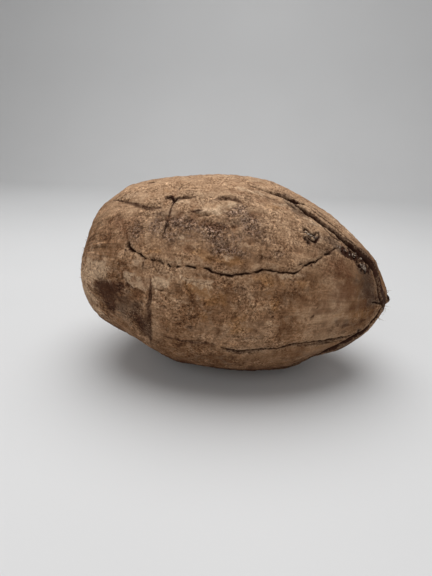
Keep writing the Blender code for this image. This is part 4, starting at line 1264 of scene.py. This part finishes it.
def crumb_material():
    s = Shader("dried_sap")
    at = s.place()
    patches = s.noise(at, 1.6 * MM, detail=3)
    colour = s.tones(patches, *SAP_TONES)
    s.put(colour, s.surface.inputs["Base Color"])
    s.put(s.over(patches, 0.3, 0.7, 0.9, 0.65), s.surface.inputs["Roughness"])
    s.surface.inputs["Specular IOR Level"].default_value = SAP_SHINE
    s.bump(s.noise(at, 0.5 * MM, detail=3), 0.2 * MM)
    return s.material


# Loose fibres: place, spread, count, lengths in mm, and how far they lean towards the tip
FIBRE_GROUPS = [
    ((251, 20), (1.2, 160), 16, (3, 7), 0.9), ((246, -34), (4, 10), 9, (3, 8), 0.6),
    ((222, 60), (12, 3), 12, (3, 6), 0.4), ((158, 73), (7, 2), 12, (2, 5), 0.2),
    ((178, 32), (7, 4), 9, (2, 5), 0.1), ((52, 29), (3, 3), 5, (2, 4), -0.2),
    ((190, -44), (24, 3), 10, (2, 5), 0.2), ((160, 187), (40, 2), 12, (2, 6), 0.2)]
LEAN_SPREAD = 0.4
LAST_STATION = 252.5
SCAR_FIBRES = 90
SCAR_STATIONS, SCAR_LENGTHS, SCAR_LEANS = (0.3, 3.2), (1.5, 4.5), (-1.2, -0.3)
FIBRE_STEPS, FIBRE_SIDES = 7, 5
FIBRE_RADII = (0.09, 0.2)  # mm
FIBRE_LIFT = 0.8  # how straight a fibre leaves the skin, against its lean and its stray
FIBRE_STRAY = 0.25
FIBRE_CURL = 0.22
FIBRE_ROOT = 0.3 * MM  # how deep it starts in the skin
FIBRE_END = 0.7  # of a step past the last ring, where it would taper to nothing


def fibre_starts(rng):
    """Where each loose fibre starts, its length in mm and how far it leans towards the tip."""
    for (station, angle), (along, round_it), count, lengths, lean in FIBRE_GROUPS:
        for _ in range(count):
            there = min(station + along * rng.uniform(-1, 1), LAST_STATION)
            start = there, angle + round_it * rng.uniform(-1, 1)
            length = rng.uniform(*lengths)
            yield start, length, lean + rng.uniform(-LEAN_SPREAD, LEAN_SPREAD)
    for _ in range(SCAR_FIBRES):
        start = rng.uniform(*SCAR_STATIONS), rng.uniform(0, 360)
        length = rng.uniform(*SCAR_LENGTHS)
        yield start, length, rng.uniform(*SCAR_LEANS)


def make_fibres():
    rng = np.random.default_rng(SEED + 2)
    starts = list(fibre_starts(rng))
    points, outs = on_husk([spot for spot, _, _ in starts])
    bm = bmesh.new()
    for (spot, length, lean), point, out in zip(starts, points, outs):
        add_fibre(bm, Vector(point), Vector(out), length * MM, lean, rng)
    return shown(finished_mesh(bm, "loose_fibres", fibre_material()))


def add_fibre(bm, start, out, length, lean, rng):
    """A thin tapered strand that rises from the skin, curls over and ends in a point."""
    thickness = rng.uniform(*FIBRE_RADII) * MM
    stray = Vector(rng.normal(size=3)) * FIBRE_STRAY
    way = (out * FIBRE_LIFT + Vector((lean, 0, 0)) + stray).normalized()
    curl = Vector(rng.normal(size=3)) * FIBRE_CURL
    here = start - out * FIBRE_ROOT
    turns = [2 * math.pi * k / FIBRE_SIDES for k in range(FIBRE_SIDES)]
    rings = []
    for i in range(FIBRE_STEPS):
        across = way.orthogonal().normalized()
        beside = way.cross(across)
        wide = thickness * (1 - i / (FIBRE_STEPS - FIBRE_END))
        spokes = [across * math.cos(a) + beside * math.sin(a) for a in turns]
        rings.append([bm.verts.new(here + spoke * wide) for spoke in spokes])
        way = (way + curl).normalized()
        here = here + way * length / FIBRE_STEPS
    tip = bm.verts.new(here)
    for k in range(FIBRE_SIDES):
        j = (k + 1) % FIBRE_SIDES
        for low, high in zip(rings[:-1], rings[1:]):
            bm.faces.new((low[k], low[j], high[j], high[k]))
        bm.faces.new((rings[-1][k], rings[-1][j], tip))
    bm.faces.new(list(reversed(rings[0])))


def fibre_material():
    s = Shader("coir_fibre")
    shade = s.noise(s.place(), 3 * MM, detail=2)
    colour = s.tones(shade, *FIBRE_TONES)
    s.put(colour, s.surface.inputs["Base Color"])
    s.surface.inputs["Roughness"].default_value = 0.7
    return s.material


def make_stage():
    """A pale backdrop that lies flat under the fruit and sweeps up behind it."""
    half_width, front, bend_at, bend_radius, top, bend_steps = 2.5, -2.5, 0.95, 0.4, 1.8, 24
    profile = [(front, 0.0), (bend_at, 0.0)]
    for i in range(1, bend_steps + 1):
        turn = math.radians(90 * i / bend_steps)
        profile.append((bend_at + bend_radius * math.sin(turn), bend_radius * (1 - math.cos(turn))))
    profile.append((bend_at + bend_radius, top))
    corners = [(x, y, z) for y, z in profile for x in (-half_width, half_width)]
    faces = [(2 * i, 2 * i + 1, 2 * i + 3, 2 * i + 2) for i in range(len(profile) - 1)]
    mesh = bpy.data.meshes.new("paper_sweep")
    mesh.from_pydata(corners, [], faces)
    mesh.shade_smooth()
    s = Shader("pale_paper")
    s.put(s.tones(s.noise(s.place(), 0.4, detail=2), *BACKDROP_TONES), s.surface.inputs["Base Color"])
    s.surface.inputs["Roughness"].default_value = 0.7
    s.bump(s.noise(s.place(), 2 * MM, detail=3), 0.1 * MM, 0.3)
    mesh.materials.append(s.material)
    sweep = bpy.data.objects.new("paper_sweep", mesh)
    bpy.context.scene.collection.objects.link(sweep)


LAMPS = {  # place, width and power
    "overhead_softbox": ((-0.08, 0.14, 1.15), 1.3, 13.5),
    "front_fill": ((-0.5, -1.3, 0.8), 1.1, 3.6),
}
LAMPS_AIM = (0, 0, 0.07)
SKY_COLOUR = (1.0, 0.995, 0.985, 1)
SKY_STRENGTH = 0.3


def make_lights():
    for name, (location, size, power) in LAMPS.items():
        light = bpy.data.lights.new(name, "AREA")
        light.shape = "DISK"
        light.size = size
        light.energy = power
        lamp = bpy.data.objects.new(name, light)
        lamp.location = location
        lamp.rotation_euler = (Vector(LAMPS_AIM) - Vector(location)).to_track_quat("-Z", "Y").to_euler()
        bpy.context.scene.collection.objects.link(lamp)
    world = bpy.data.worlds.new("studio")
    world.use_nodes = True
    world.node_tree.nodes["Background"].inputs["Color"].default_value = SKY_COLOUR
    world.node_tree.nodes["Background"].inputs["Strength"].default_value = SKY_STRENGTH
    bpy.context.scene.world = world


def make_camera():
    """The photograph's camera: it looks down at the husk from in front, a little from its tip's side."""
    yaw, pitch, roll = CAMERA_YAW, CAMERA_PITCH, CAMERA_ROLL
    right = Vector((math.cos(yaw), math.sin(yaw), 0))
    ahead = Vector((-math.sin(yaw) * math.cos(pitch), math.cos(yaw) * math.cos(pitch), -math.sin(pitch)))
    up = right.cross(ahead)
    across = right * math.cos(roll) + up * math.sin(roll)
    upward = up * math.cos(roll) - right * math.sin(roll)
    aim = Vector(((AIM_STATION - CENTRE_STATION) * math.cos(TIP_DOWN), -CENTRE_DEPTH, AXIS_HEIGHT))
    aim_right, aim_up = AIM_PIXEL[0] - IMAGE_SIZE[0] / 2, IMAGE_SIZE[1] / 2 - AIM_PIXEL[1]
    ray = (ahead * FOCAL_PIXELS + across * aim_right + upward * aim_up).normalized()
    data = bpy.data.cameras.new("camera")
    data.sensor_width = SENSOR_WIDTH
    data.lens = data.sensor_width * FOCAL_PIXELS / max(IMAGE_SIZE)
    data.clip_start, data.clip_end = 0.01, 20
    camera = bpy.data.objects.new("camera", data)
    turned = Matrix((across, upward, -ahead)).transposed().to_4x4()
    camera.matrix_world = Matrix.Translation(aim - ray * CAMERA_DISTANCE) @ turned
    bpy.context.scene.collection.objects.link(camera)
    bpy.context.scene.camera = camera


make_husk()
make_crumbs()
make_fibres()
make_stage()
make_lights()
make_camera()
bpy.context.scene.view_settings.view_transform = "Standard"
